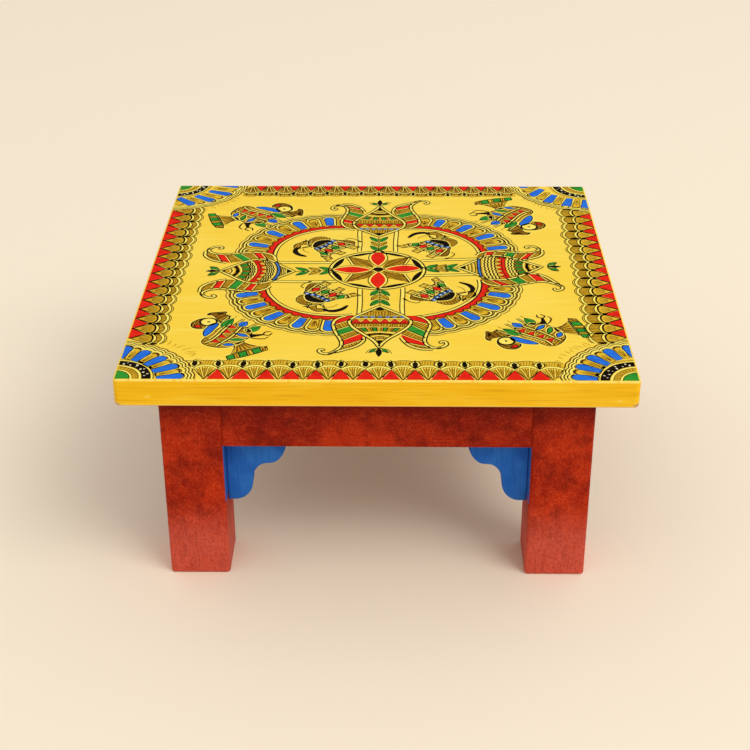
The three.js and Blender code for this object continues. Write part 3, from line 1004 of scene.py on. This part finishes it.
class Bud(Drawing):
    """A lotus bud seen from the side, its inner point at 0 and its tip up."""

    def __init__(self, widths):
        """Widths holds distances from the inner point, each with half the bud's width there."""
        super().__init__()
        self.widths = widths
        self.tip = widths[-1][0]
        self.outline = both_sides(smooth([complex(half, depth) for depth, half in widths], steps=2))
        self.fill("olive", self.outline)
        self.line("pale", self.outline, 2.1, closed=True)
        for off in (-1.4, 1.4):
            self.line("black", beside(self.outline, off, True), 1, closed=True)

    def half(self, depth):
        for (near, low), (far, high) in zip(self.widths, self.widths[1:]):
            if depth <= far:
                return low + (high - low) * (depth - near) / (far - near)
        return 0.0

    def level(self, depth, bend, ripple=0.0, inset=1.2, count=24):
        """A line across, from edge to edge, which bends outwards at its ends and may ripple."""
        half = self.half(depth)
        for _ in range(8):
            half = (half + self.half(depth + bend * half)) / 2
        half = max(half - inset, 0.4)
        found = []
        for s in (2 * k / count - 1 for k in range(count + 1)):
            wave = ripple * math.sin(s * half * 1.15)
            found.append(complex(s * half, depth + bend * half * s * s + wave))
        return found

    def rule(self, paint, depth, width, bend=0.0, ripple=0.0):
        """A line across the bud."""
        self.line(paint, self.level(depth, bend, ripple), width)

    def band(self, low, high, bend):
        """A hatched band between two levels."""
        self.hatch(self.level(low, bend) + self.level(high, bend)[::-1], turn=88)
        for depth in (low, high):
            self.rule("black", depth, STROKE, bend)

    def waves(self, low, high, count, bend):
        """Rippled pale lines, each with a black one beside it."""
        for k in range(count):
            depth = low + (high - low) * (k + 0.3) / count
            self.rule("pale", depth, 1.2, bend, 0.6)
            self.rule("black", depth + 1.2, 1.2, bend, 0.6)

    def teeth(self, apex, root, count, bend, band):
        """Red triangles that point inwards, joined along their feet."""
        base = self.level(root, bend, count=2 * count)
        for k in range(count):
            right, middle, left = base[2 * k + 2], base[2 * k + 1], base[2 * k]
            self.shape("red", [right, left, middle - (root - apex) * 1j])
            if k:
                notch = left - 1.2j
                self.line("pale", [notch + complex(-1.9, -3.6), notch, notch + complex(1.9, -3.6)], 0.7)
        self.line("red", [p + band * 0.5j for p in self.level(root, bend)], band)
        self.line("black", [p + (band + 0.3) * 1j for p in self.level(root, bend)], STROKE)

    def blocks(self, low, high, count, fill=0.42, bend=0.1):
        """A row of green blocks."""
        near, far = (self.level(depth, bend, inset=1.6, count=40) for depth in (low, high))
        for k in range(count):
            a, b = (round(40 * (k + 0.5 + way * fill / 2) / count) for way in (-1, 1))
            self.shape("green", [near[a], near[b], far[b], far[a]])
            self.line("umber", [near[min(b + 2, 40)], far[min(b + 2, 40)]], 1.1)

    def ends(self, heart, tip_low, tip_high, thick, thick_bend, weight=2.8):
        """The black inner triangle, the black tip and the thick arc under it."""
        self.fill("black", [0.8j, complex(4, heart - 0.6), complex(0, heart), complex(-4, heart - 0.6)])
        right = [complex(2.8, tip_low + 0.8), complex(0.9, (tip_low + tip_high) / 2 + 0.8)]
        self.fill("black", [complex(0, tip_low), *right, complex(0, tip_high), *opposite(right)])
        self.line("black", self.level(thick, thick_bend), weight, ends=0.6)
        for end in (self.level(thick, thick_bend)[k] for k in (2, 12, 22)):
            self.fill("black", ring(end, 1.8, 0.9))

    def flower(self, at, tall=13, leaves=(10, 3.8)):
        """The small flower on the bud's tip."""
        self.shape("black", lens(tall, 3.6, complex(0, at + tall / 2)))
        self.line("pale", lens(tall + 2.6, 5.8, complex(0, at + tall / 2 + 0.2)), 0.7, closed=True)
        for side in (-1, 1):
            almond(self, "green", *leaves, complex(side * 0.8, at), -side * 42)
            whisker = [complex(side * x, at + y) for x, y in ((2.4, 0.4), (7, 2.4), (9.6, 8))]
            self.line("black", smooth(whisker), 0.5, ends=0.4)


def beaded_bud(widths, beads, teeth, blocks, thick, tip, hearts=6, weight=2.8):
    """A bud with a row of blue beads: the ones at the front and the back."""
    bud = Bud(widths)
    bud.band(beads - 9.4, beads - 2.4, -0.08)
    half = bud.half(beads) - 2.6
    bud.line("black", [complex(-half - 1, beads), complex(half + 1, beads)], 2.6)
    for k in range(7):
        bud.fill("bead", ring(complex(half * (k / 3 - 1), beads), 1.75, 1.2))
    for depth in (beads - 2.2, beads + 2.2):
        bud.rule("pale", depth, 0.9)
    bud.teeth(teeth, teeth + 6, hearts, 0.02, 1.4 if hearts > 5 else 0.4)
    bud.band(teeth + 8, blocks - 1.6, 0.06)
    bud.rule("pale", blocks - 1, 1, 0.08)
    bud.blocks(blocks, blocks + 6.4, 4)
    bud.rule("pale", blocks + 8, 1.5, 0.2, 0.3)
    bud.rule("pale", thick + 3, 1.2, 0.42)
    bud.band(thick + 4, tip - 2.6, 0.44)
    bud.rule("pale", tip - 1.6, 1, 0.45)
    bud.ends(beads * 0.42, tip, tip + 7, thick, 0.24, weight)
    bud.flower(bud.tip + 1.4)
    return bud


def ringed_bud(widths, blue, teeth, blocks, thick, tip, bend, bloom=0.0):
    """A bud with rippled lines on both sides of its red teeth: the ones at the left and the right."""
    bud = Bud(widths)
    for k in range(3):
        depth = 6 + (blue - 8.6) * (k + 0.5) / 3
        bud.rule("pale", depth, 0.9, -0.1)
        bud.rule("black", depth + 1.1, STROKE, -0.1)
    girdle = bud.level(blue, bend - 0.06, inset=-0.6)
    bud.line("black", girdle, 3.5)
    bud.line("bead", girdle[1:-1], 1.6)
    bud.waves(blue + 2.6, teeth - 0.6, 4, bend)
    bud.teeth(teeth, teeth + 4.4, 6, bend, 2.6)
    bud.waves(teeth + 7.8, blocks - 0.4, 3, bend + 0.04)
    bud.blocks(blocks, blocks + 6, 4, 0.58, bend + 0.06)
    bud.rule("pale", blocks + 7, 1.4, bend + 0.08, 0.3)
    bud.rule("pale", thick + 3.2, 1.2, 0.4)
    bud.rule("black", thick + 4.8, 0.7, 0.4)
    bud.rule("pale", thick + 6, 0.9, 0.42)
    bud.ends(6.4, tip, bud.tip - 0.4, thick, bend + 0.1)
    bud.flower(bud.tip + 1 + bloom, 11, (12, 5))
    return bud


# The curling leaves beside the buds: the outer edge and the inner edge, each from its foot
LONG_LEAF = (
    (20 + 17.4j, 29 + 19.4j, 35 + 26j, 36.2 + 34.4j, 34.2 + 46j, 31 + 54.6j, 28.8 + 62.4j,
     29 + 70j, 33.5 + 77.6j, 38.5 + 81.7j, 43 + 81j, 45.4 + 77.6j, 44 + 75j, 41.6 + 75.6j),
    (17 + 17j, 22 + 22.6j, 24 + 29j, 23 + 35j, 20.6 + 41j, 15.4 + 48j, 12.6 + 54j, 12.8 + 60.6j,
     15.7 + 66.8j, 20.6 + 71.8j, 28.4 + 76.4j, 34 + 79.4j),
)
SHORT_LEAF = (
    (22 + 17j, 31.6 + 18.4j, 37.4 + 25.4j, 38.8 + 34.4j, 36.6 + 44j, 34.6 + 53j, 34.2 + 61j,
     36.4 + 67.4j, 41.4 + 71.4j, 46.6 + 70j, 50 + 66.1j, 49.6 + 61.8j, 47 + 61j, 45.6 + 63j),
    (17 + 17j, 22 + 22.6j, 24 + 29j, 23 + 35j, 20.6 + 41j, 17.4 + 48j, 16.6 + 54.6j, 19 + 61.6j,
     23.6 + 68.4j, 31 + 73.2j, 40 + 73.6j),
)
STRIPES = ("olive", "red", "olive", "green", "olive", "red", "olive")


def along(path, share):
    """The place at a share of a path's length."""
    lengths = [abs(b - a) for a, b in zip(path, path[1:])]
    left = share * sum(lengths)
    for a, b, length in zip(path, path[1:], lengths):
        if left <= length:
            return a + (b - a) * left / length
        left -= length
    return path[-1]


def between_levels(path, low, high):
    """The part of a path that rises from one level to another."""
    def crossing(level):
        for a, b in zip(path, path[1:]):
            if a.imag <= level <= b.imag and b.imag > a.imag:
                return a + (b - a) * (level - a.imag) / (b.imag - a.imag)
        return path[-1] if level > path[0].imag else path[0]
    return [crossing(low), *(p for p in path if low < p.imag < high), crossing(high)]


def curling_leaf(edges, slim, tall, levels):
    """A leaf in slanted stripes that ends in a curl. Levels is where each stripe ends on either edge."""
    motif = Drawing()
    outer, inner = (smooth([complex(p.real * slim, p.imag * tall) for p in edge]) for edge in edges)
    body = outer[:37]
    low, inner_low = 17, 17
    for paint, (high, inner_high) in zip(STRIPES[-len(levels) - 1:], (*levels, (90, 90))):
        near, far = between_levels(body, low, high), between_levels(inner, inner_low, inner_high)
        patch = near + far[::-1]
        motif.fill(paint, patch)
        motif.line("black", [near[-1], far[-1]], 0.85)
        motif.line("pale", [near[-1] + 1j, far[-1] + 1j], 0.8)
        if paint == "olive":
            across = cmath.phase(far[-1] - near[-1])
            motif.hatch(patch, turn=math.degrees(across) + 84, pitch=2.2, width=0.95)
        low, inner_low = high, inner_high
    for edge in (outer[3:], inner[24:]):
        motif.line("pale", edge, 2.0, ends=0.7)
        for off in (-1.4, 1.4):
            motif.line("black", beside(edge, off), 1.05, ends=0.8)
    motif.fill("umber", ring(outer[-1], 1.3, 0.8))
    return motif


def bud_group(bud, leaves, at, turn):
    """A bud with its two curling leaves, pointing away from the middle."""
    for mirrored, leaf in zip((False, True), leaves):
        over.stamp(curling_leaf(*leaf), at, turn, mirrored=mirrored)
    over.stamp(bud, at, turn)


# The bare channels from the medallion to the buds: both ends of each one's two edges
CHANNELS = (
    (-16.4 - 36j, -16.4 - 86j), (-12.6 - 38j, -12.6 - 82j),
    (17.5 - 36j, 17.5 - 84j), (20.9 - 34j, 20.9 - 86j),
    (-18.8 + 37j, -19.4 + 84j), (-15.6 + 38j, -15.8 + 82j),
    (12.2 + 38j, 12.4 + 84j), (15.6 + 37j, 16 + 86j),
    (-38 + 16.2j, -88 + 16.6j), (-39 + 12.3j, -84 + 12.6j),
    (-36 - 21.3j, -86 - 21.5j), (-34 - 25.2j, -87 - 25j),
    (37 + 17j, 80 + 21j), (35 + 20.4j, 82 + 25.4j),
    (37 - 9.6j, 80 - 6j), (36 - 13.2j, 80 - 10.4j),
)


def channel_lines():
    for near, far in zip(CHANNELS[::2], CHANNELS[1::2]):
        sides = [spaced(list(ends), 6) for ends in (near, far)]
        middle = [(a + along(sides[1], k / (len(sides[0]) - 1))) / 2 for k, a in enumerate(sides[0])]
        art.line("pale", middle, 2.6)
        for side in sides:
            art.line("black", side, 0.85)


def bud_groups():
    """The four buds, each with its leaves, the place of its inner point and its turn."""
    back = (
        (0, 0), (6, 6.6), (12, 13.5), (17, 19), (22, 21.6), (28, 22.6), (34, 21), (40, 17.5), (46, 13),
        (52, 9.2), (57, 6), (62, 3), (66, 1.2), (69, 0),
    )
    left = (
        (0, 0), (5.5, 5.2), (11, 10.5), (16, 17.5), (21, 21.8), (27, 24), (33, 23.6), (38, 21.6), (44, 17),
        (51, 10), (57, 4.2), (61.5, 0),
    )
    front = (
        (0, 0), (6, 6.4), (12, 12.6), (17, 17.8), (23, 22.4), (29, 24.2), (37, 21.6), (43, 17.6), (49, 13),
        (55, 8.2), (61, 4), (66, 1.6), (71, 0),
    )
    right = (
        (0, 0), (8, 7.2), (16.8, 15.3), (21.5, 21.4), (27, 23.6), (33.5, 24.2), (39, 22.9), (44, 20.5),
        (49, 17.6), (54, 14), (59, 9.6), (64, 5.2), (70, 0),
    )
    back_stripes = ((30.8, 24.8), (38.7, 32.2), (48.8, 40.8), (56.2, 47.7), (64.8, 56.8), (72.2, 64.7))
    upper_left = ((29.8, 22.8), (37.7, 30.2), (47.8, 36.8), (55.2, 44.2), (60.8, 53.8), (68.2, 61.7))
    lower_left = ((31.8, 26.8), (38.7, 33.2), (44.8, 38.8), (52.2, 46.2), (57.8, 54.3), (64.7, 61.2))
    front_right = ((33.2, 23.6), (42, 34), (51.2, 42.2), (59.6, 47.6), (69, 57))
    front_left = ((31.2, 23.2), (44.4, 31.8), (54, 41.2), (61.6, 49), (69.2, 62.2))
    lower_right = ((32.4, 19.4), (41.6, 27.6), (46.7, 38), (54.9, 46.4), (61.4, 54.8), (71.1, 63.6))
    upper_right = ((26.4, 19.9), (34.6, 27.6), (43, 37.4), (51.4, 45.1), (60.4, 51.1), (68.6, 58.6))
    return (
        (
            beaded_bud(back, 16.2, 20.8, 36.6, 49, 57.6, hearts=5, weight=3.4),
            ((LONG_LEAF, 0.98, 1, back_stripes), (SHORT_LEAF, 0.86, 1, back_stripes)),
            -0.8 + 70.2j, 0,
        ),
        (
            ringed_bud(left, 12.7, 23.4, 36.8, 46.6, 57, bend=0.26),
            ((SHORT_LEAF, 1, 1.06, upper_left), (SHORT_LEAF, 1, 1, lower_left)),
            -70.5 - 3.4j, 90,
        ),
        (
            beaded_bud(front, 19.8, 23, 37.4, 48.6, 59.6),
            ((LONG_LEAF, 1, 1, front_right), (SHORT_LEAF, 1, 1, front_left)),
            1.8 - 68.3j, 180,
        ),
        (
            ringed_bud(right, 17.4, 32, 47.8, 57.6, 64.8, bend=0.13, bloom=3.4),
            ((LONG_LEAF, 1, 1, lower_right), (SHORT_LEAF, 0.86, 1, upper_right)),
            65.7 + 4.4j, -88,
        ),
    )


def field():
    """The four-lobed field round the middle, with its channels, sprigs and buds."""
    for k, (middle, radius, start, stop, blues) in enumerate(LOBES):
        lobe(middle, radius, start, stop, blues, 301 + 10 * k)
    channel_lines()
    for bud, leaves, at, turn in bud_groups():
        bud_group(bud, leaves, at, turn)
        sprig(cmath.rect(38.5, cmath.phase(at)) + 0.5j, at)


def elephant_legs(motif):
    for foot, top, reach in ((-22, -17.4, 3.6), (-4.8, -5.6, 3.6), (12, 11, 3.8)):
        leg = [complex(x, y) for x, y in (
            (top - 3.4, -7), (foot - reach, -17.6), (foot + reach, -17.6), (top + 3.6, -7),
        )]
        motif.shape("olive", leg, halo=0.9)
        for share in (-0.4, 0.5):
            motif.line("umber", [complex(top + share * 4, -8), complex(foot + share * 5, -17)], 0.8)
        motif.line("pale", [complex(foot - reach + 0.6, -14.6), complex(foot + reach - 0.6, -14.6)], 0.8)


def elephant_cloth(cloth):
    """Diamonds in stripes on the elephant's side, and a beaded collar over them."""
    for centre, paint in (
        (10 - 1.2j, "red"), (0.9 - 2.4j, "green"), (-7.6 - 2.4j, "red"), (-15.6 - 3.8j, "green")
    ):
        cloth.shape(paint, [centre - 5.8j, centre + 3.3, centre + 5.4j, centre - 3.2], halo=0.8, ink=1)
    for top, foot in ((-9.8, -13), (-2.6, -3.8), (5.2, 5.4), (12.8, 16)):
        edged(cloth, [complex(top, 5.8), complex((top + foot) / 2, -1), complex(foot, -8.4)], 1.3, 1.1)
    collar = smooth([-13.2 + 8.6j, -6 + 7.4j, 2 + 7.6j, 12.4 + 9.6j], steps=3)
    cloth.line("black", collar, 4.8)
    for share in (0.08, 0.29, 0.5, 0.71, 0.92):
        cloth.fill("bead", ring(along(collar, share), 2.1, 1.2))
        cloth.fill("dots", ring(along(collar, share) + 0.4j, 0.8, 0.7))
    for lift in (-2.9j, 2.9j):
        cloth.line("pale", [p + lift for p in collar], 1.4)


def elephant_head(motif, cloth):
    """The head with its raised trunk, the long tusk, and the ear, which is laid over it."""
    head = blob(
        -11 + 12.6j, -11.4 + 17.4j, -8 + 22.6j, -2.4 + 26.6j, 4.6 + 27j, 9.8 + 24j, 11.8 + 18.6j,
        10.4 + 12.8j,
    )
    motif.hatched(head, halo=0.9, ink=FINE, turn=64, pitch=2.1, width=1.2, shrink=0.98)
    trunk = blob(
        -6.4 + 25.4j, -12 + 28.6j, -18.6 + 29.2j, -22.6 + 26.4j, -24.6 + 23.4j, -22.6 + 20.4j,
        -18.6 + 22.4j, -15 + 24.4j, -9.4 + 20.4j,
    )
    motif.hatched(trunk, halo=0.8, ink=FINE, turn=20, pitch=2.1, width=1)
    horn = smooth([-20.4 + 22.6j, -26 + 21.4j, -29.8 + 17.6j, -31.4 + 11.4j, -30 + 3.4j], steps=5)
    motif.line("black", horn, 4.7, ends=0.3)
    motif.line("pale", smooth([-20 + 20j, -25 + 18j, -27.6 + 14j, -28.2 + 9.4j], steps=4), 1.1, ends=0.4)
    fold = smooth([-18.6 + 18.6j, -21.4 + 16.4j, -23 + 12.4j, -22.4 + 7.4j], steps=4)
    motif.line("umber", fold, 0.7, ends=0.4)
    ear = blob(
        -11.2 + 12.4j, -7.8 + 16.2j, -1 + 18.8j, 4.2 + 17.4j, 9 + 12.8j, 3 + 12j, -3.2 + 11.6j,
    )
    cloth.shape("black", ear, halo=1)
    lip = blob(-10.4 + 18.4j, -15 + 18.2j, -20 + 20.6j, -14.6 + 16.4j, steps=2)
    motif.shape("pale", lip)
    motif.shape("pale", ring(-4.6 + 22.6j, 1.9, 0.9))
    motif.fill("black", ring(-4.8 + 22.5j, 0.9, 0.5))
    motif.fill("black", [-8.6 + 26.6j, -4.6 + 26.4j, -3.8 + 30.4j, -6 + 28.2j, -9.4 + 29.8j])


def elephant():
    """A folk elephant facing left, the middle of its body at 0, and the cloth laid over it."""
    motif, cloth = Drawing(), Drawing()
    elephant_legs(motif)
    body = blob(
        -12 + 11.5j, -14.6 + 5j, -18 - 1.5j, -21 - 7j, -17 - 10.6j, -6 - 9.2j, 6 - 9.6j, 15 - 11j,
        21.6 - 6.4j, 19.6 + 0.4j, 15.4 + 6j, 11.6 + 11.8j, 0 + 12.6j,
    )
    motif.hatched(body, halo=1, ink=0.9, turn=80, pitch=2, width=1.35)
    motif.line("pale", smooth([-19.4 - 7.6j, -8 - 8.2j, 4 - 8.6j, 14.6 - 9.4j], steps=3), 1.2)
    elephant_cloth(cloth)
    elephant_head(motif, cloth)
    motif.line("black", smooth([19.6 + 3j, 24 + 2.4j, 26 - 3j, 25.4 - 8j]), 0.9)
    motif.fill("black", lens(5.6, 2.4, 25.2 - 9.6j, -6))
    return motif, cloth


def bird_tail(motif):
    """A narrow tail that ends in a bar of three green fields."""
    tail = [-15 + 0.6j, -22 + 5.4j, -28.4 + 12j, -29.6 + 0j, -31.4 - 12.6j, -24 - 7.4j, -15 - 5j]
    motif.shape("olive", tail, halo=0.8, ink=0.8)
    motif.rays(-14 - 2j, [complex(-28.8, y) for y in (-9, -5, -1, 3, 7)], width=1.3, start=0.1)
    bar = smooth([-33.6 - 17j, -31.8 - 5.6j, -30.6 + 5.4j, -29.6 + 17j], steps=7)
    rim = smooth([-39.4 - 14j, -39.2 - 3.4j, -37.8 + 8j, -35.4 + 19j], steps=7)
    motif.between("amber", rim, bar)
    motif.rays(-33 - 17j, [complex(-38.8, y) for y in (-12, -9)], width=0.9)
    for k in (4, 11, 17):
        motif.shape("green", rim[k:k + 5] + bar[k:k + 5][::-1])
        motif.line("umber", [rim[k - 1], bar[k - 1]], 1)
    motif.line("black", bar + rim[::-1], 0.8, closed=True)
    motif.line("pale", [p + 1.4 for p in bar], 1.5)


def bird_body(motif, patches):
    """The hatched body, with a row of red teeth between two lines and four leaves behind it."""
    body = blob(
        14.6 - 16j, 6.6 - 20.4j, -3 - 20.6j, -10.6 - 17j, -15.4 - 8j, -17.8 + 2j, -17.2 + 9.6j,
        -12.4 + 15.6j, -5 + 20.4j, 2.4 + 20.4j, 7.2 + 14j, 13 + 3j, 17 - 8j,
    )
    motif.hatched(body, halo=1.1, ink=1, turn=36, pitch=2.2, width=0.95, shrink=0.97)
    breast = smooth([15.6 - 13j, 10.4 - 4j, 4.6 + 4j, 0.4 + 12j, -0.6 + 19j], steps=4)
    edged(patches, breast, 1.4, 1.1)
    patches.line("pale", [p + 2.6 + 1.4j for p in breast[2:-4]], 0.9)
    waist = smooth([6.6 - 18.6j, 2 - 11.4j, -3.4 - 3j, -6.6 + 5j, -10.4 + 14.6j], steps=4)
    edged(patches, waist, 1.4, 1.1)
    for share in (0.1, 0.34, 0.58, 0.82):
        foot, head = along(breast, share), along(waist, share + 0.02)
        run = (head - foot) / abs(head - foot)
        base = foot + run * 1.4
        patches.shape("red", [base - run * 3.5j, base + run * 7.4, base + run * 3.5j], halo=0.7, ink=0.9)
    for place, paint, length, width, turn in (
        (-1.9 - 19j, "green", 6.5, 4, 100), (-6 - 11j, "blue", 12.5, 5, 119),
        (-10.6 - 3.6j, "green", 13, 4.6, 144), (-14 + 5.8j, "blue", 10, 5, 140),
    ):
        patches.shape(paint, lens(length, width, place, turn, steps=4), halo=0.9, ink=0.9)


def bird_neck(motif, patches):
    """The blue neck and the three feathers under it."""
    neck = blob(
        23.6 - 6j, 24 + 0.8j, 20.5 + 7.1j, 15.8 + 11.6j, 9.1 + 14.1j, 10.3 + 9.6j, 13 + 5.2j, 16.7 + 0.2j,
        19.5 - 3.7j,
    )
    patches.shape("blue", neck, halo=1, ink=0.9)
    for foot, run, paint, width in (
        (14.6 - 4j, 8.6 - 17j, "green", 8.4), (8 - 17j, 3.6 - 10.4j, "blue", 8),
        (-4 - 17j, 2.6 - 14.6j, "green", 8),
    ):
        almond(patches, paint, abs(run), width, foot, math.degrees(cmath.phase(run)) - 90)
        motif.line("black", [foot + run, foot + run * (1 + 5 / abs(run))], 1.1, ends=0.4)
        edged(motif, beside([foot, foot + run * 1.15], -width / 2 - 1.2), 0.9, 0.9)


def bird_head(motif, patches):
    """The crest, then the hood and the round eye."""
    crest = blob(
        41.6 - 6.4j, 38.2 - 9.4j, 33.4 - 9.4j, 27 - 8.8j, 23.4 - 8j, 24 - 13j, 25 - 18j, 30.6 - 20j,
        33.6 - 18.6j, 37 - 22j, 40.4 - 16j, 43 - 10.6j,
    )
    motif.hatched(crest, halo=0.8, ink=0.9, turn=100, pitch=1.9, width=1.4)
    motif.fill("black", lens(6, 2.6, 42 - 8.4j, 30, steps=4))
    motif.fill("umber", lens(8, 3.4, 37.6 - 16j, -30, steps=4))
    hood = blob(
        23.4 - 3.8j, 22.1 + 3.1j, 22.6 + 9.2j, 26.2 + 13j, 30.8 + 14j, 35.6 + 10.9j, 38 + 4.6j, 37.1 - 2.1j,
        33.4 - 6.2j, 28.2 - 6.8j,
    )
    motif.hatched(hood, halo=1, ink=1.2, turn=-50, pitch=2, width=1.2)
    patches.shape("red", [24.8 + 8.6j, 29 + 7.8j, 31.6 + 11.2j, 27 + 12.4j])
    eye = 30 - 0.8j
    patches.fill("pale", ring(eye, 6, 1.2))
    patches.line("black", ring(eye, 6.6, 1.4), 1.6, closed=True)
    patches.fill("black", ring(eye, 1, 0.6, flat=1.5))


def bird_foot(motif):
    motif.fill("black", [-7.4 - 17j, -14 - 14j, -15 - 20j, -16.4 - 26j, -14.4 - 26.4j, -11.6 - 21j])
    for claw in ([-15.4 - 25j, -18.6 - 28j, -16.8 - 32.6j], [-15.4 - 25j, -12.2 - 28.4j, -14.2 - 33j]):
        motif.line("black", smooth(claw), 1.3, ends=0.4)
    thigh = smooth([-13 - 13.6j, -17.8 - 17j, -21.4 - 22j, -20.4 - 27j])
    motif.line("umber", thigh, 1.6, ends=0.4)
    motif.line("pale", beside(thigh, -1.5), 0.9)


def bird():
    """A folk bird, its tail to the left and its head to the right, and the patches laid over it."""
    motif, patches = Drawing(), Drawing()
    bird_tail(motif)
    bird_body(motif, patches)
    bird_neck(motif, patches)
    bird_head(motif, patches)
    bird_foot(motif)
    return motif, patches


def creatures():
    walker, flyer = elephant(), bird()
    for k, place in enumerate((-40.4 + 46.5j, 44.5 + 46j, 44 - 43.3j, -43.9 - 45.4j)):
        for level, motif in zip((art, over), walker):
            level.stamp(motif, place, 49 - 90 * k, size=0.96)
    for place, turn, size in (
        (-115 + 119j, 26.6, 1.02), (118 + 120j, -63.4, 1.04),
        (124 - 117j, 203, 0.96), (-115 - 121j, 126, 0.96),
    ):
        for level, motif in zip((art, over), flyer):
            level.stamp(motif, place, turn, size)


def swayed(point):
    """A place moved as a brush held in the hand strays: slowly and a little, then faster and less."""
    near, far = (noise.noise_vector(Vector((point.real / run, point.imag / run, run))) for run in (6, 27))
    return point + complex(near.x, near.y) * 0.22 + complex(far.x, far.y) * 0.8


def lay_coat(name, paint, raised, points, faces):
    """Turns one paint's patches into a thin closed film on the wood."""
    height = PAINTS[paint][0] + raised
    mesh = flat_mesh([swayed(point) for point in points], faces)
    form = bmesh.new()
    form.from_mesh(mesh)
    for way, reach in (((1, 0, 0), EDGE), ((-1, 0, 0), EDGE), ((0, 1, 0), DEEP), ((0, -1, 0), DEEP)):
        rim = Vector(way) * (reach - EASE)
        geometry = form.verts[:] + form.edges[:] + form.faces[:]
        bmesh.ops.bisect_plane(form, geom=geometry, plane_co=rim, plane_no=way, clear_outer=True)
    loose = [vertex for vertex in form.verts if not vertex.link_faces]
    bmesh.ops.delete(form, geom=loose, context="VERTS")
    form.normal_update()
    for face in form.faces:
        if face.normal.z < 0:
            face.normal_flip()
    for vertex in form.verts:
        vertex.co = Vector((vertex.co.x * MM, vertex.co.y * MM, TOP_Z + height * MM))
    form.to_mesh(mesh)
    form.free()
    mesh.name = name
    mesh.materials.append(paints[paint])
    piece = add_object(name, mesh)
    film = piece.modifiers.new("film", "SOLIDIFY")
    film.thickness = (height + PAINT_BED) * MM
    film.offset = -1
    solid = bpy.data.meshes.new_from_object(piece.evaluated_get(bpy.context.evaluated_depsgraph_get()))
    piece.modifiers.clear()
    piece.data = solid
    bpy.data.meshes.remove(mesh)
    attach(piece, BODY)


borders()
rosettes()
field()
medallion()
creatures()
for start, drawing, raised in (("painted_", art, 0), ("over_", over, UPPER)):
    for paint, (points, faces) in drawing.coats.items():
        lay_coat(start + paint, paint, raised, points, faces)


# Finishes of the wooden pieces: the first start that fits a node's name gives its finish

FINISHES = (
    ("top_board", ground), ("leg_", legs_stain),
    ("rail_front", long_rail_stain), ("rail_back", long_rail_stain), ("rail_", side_rail_stain),
    ("block_screw", steel_finish), ("bracket_pin", wood_finish), ("bracket_", bracket_blue),
    ("", wood_finish),
)
for name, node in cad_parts.items():
    node.data.materials.clear()
    node.data.materials.append(next(finish for start, finish in FINISHES if name.startswith(start)))


# Floor and light

def studio_floor():
    finish = Finish("cream_floor", roughness=0.9, gloss=0.1)
    fleck = finish.cloud(14, detail=4, rough=0.6)
    finish.colour(finish.mix(fleck, (252, 237, 212), (253, 238, 214)))
    reach = 7.0
    mesh = bpy.data.meshes.new("floor")
    square = [(-reach, -reach, 0), (reach, -reach, 0), (reach, reach, 0), (-reach, reach, 0)]
    mesh.from_pydata(square, [], [(0, 1, 2, 3)])
    mesh.materials.append(finish.material)
    add_object("floor", mesh)


def softbox(name, place, width, power):
    data = bpy.data.lights.new(name, "AREA")
    data.size = width
    data.energy = power
    lamp = add_object(name, data)
    lamp.location = place
    aim = Vector((0, 0, 0.1)) - Vector(place)
    lamp.rotation_euler = aim.to_track_quat("-Z", "Y").to_euler()


SKY_POWER = 0.72


def light_studio():
    world = bpy.data.worlds.new("studio")
    bpy.context.scene.world = world
    world.use_nodes = True
    light = world.node_tree.nodes["Background"].inputs
    light["Color"].default_value = (1, 1, 1, 1)
    light["Strength"].default_value = SKY_POWER
    softbox("key", place=(3.6, -3.1, 5.3), width=3.9, power=196)
    bpy.context.scene.view_settings.view_transform = "Standard"


studio_floor()
light_studio()
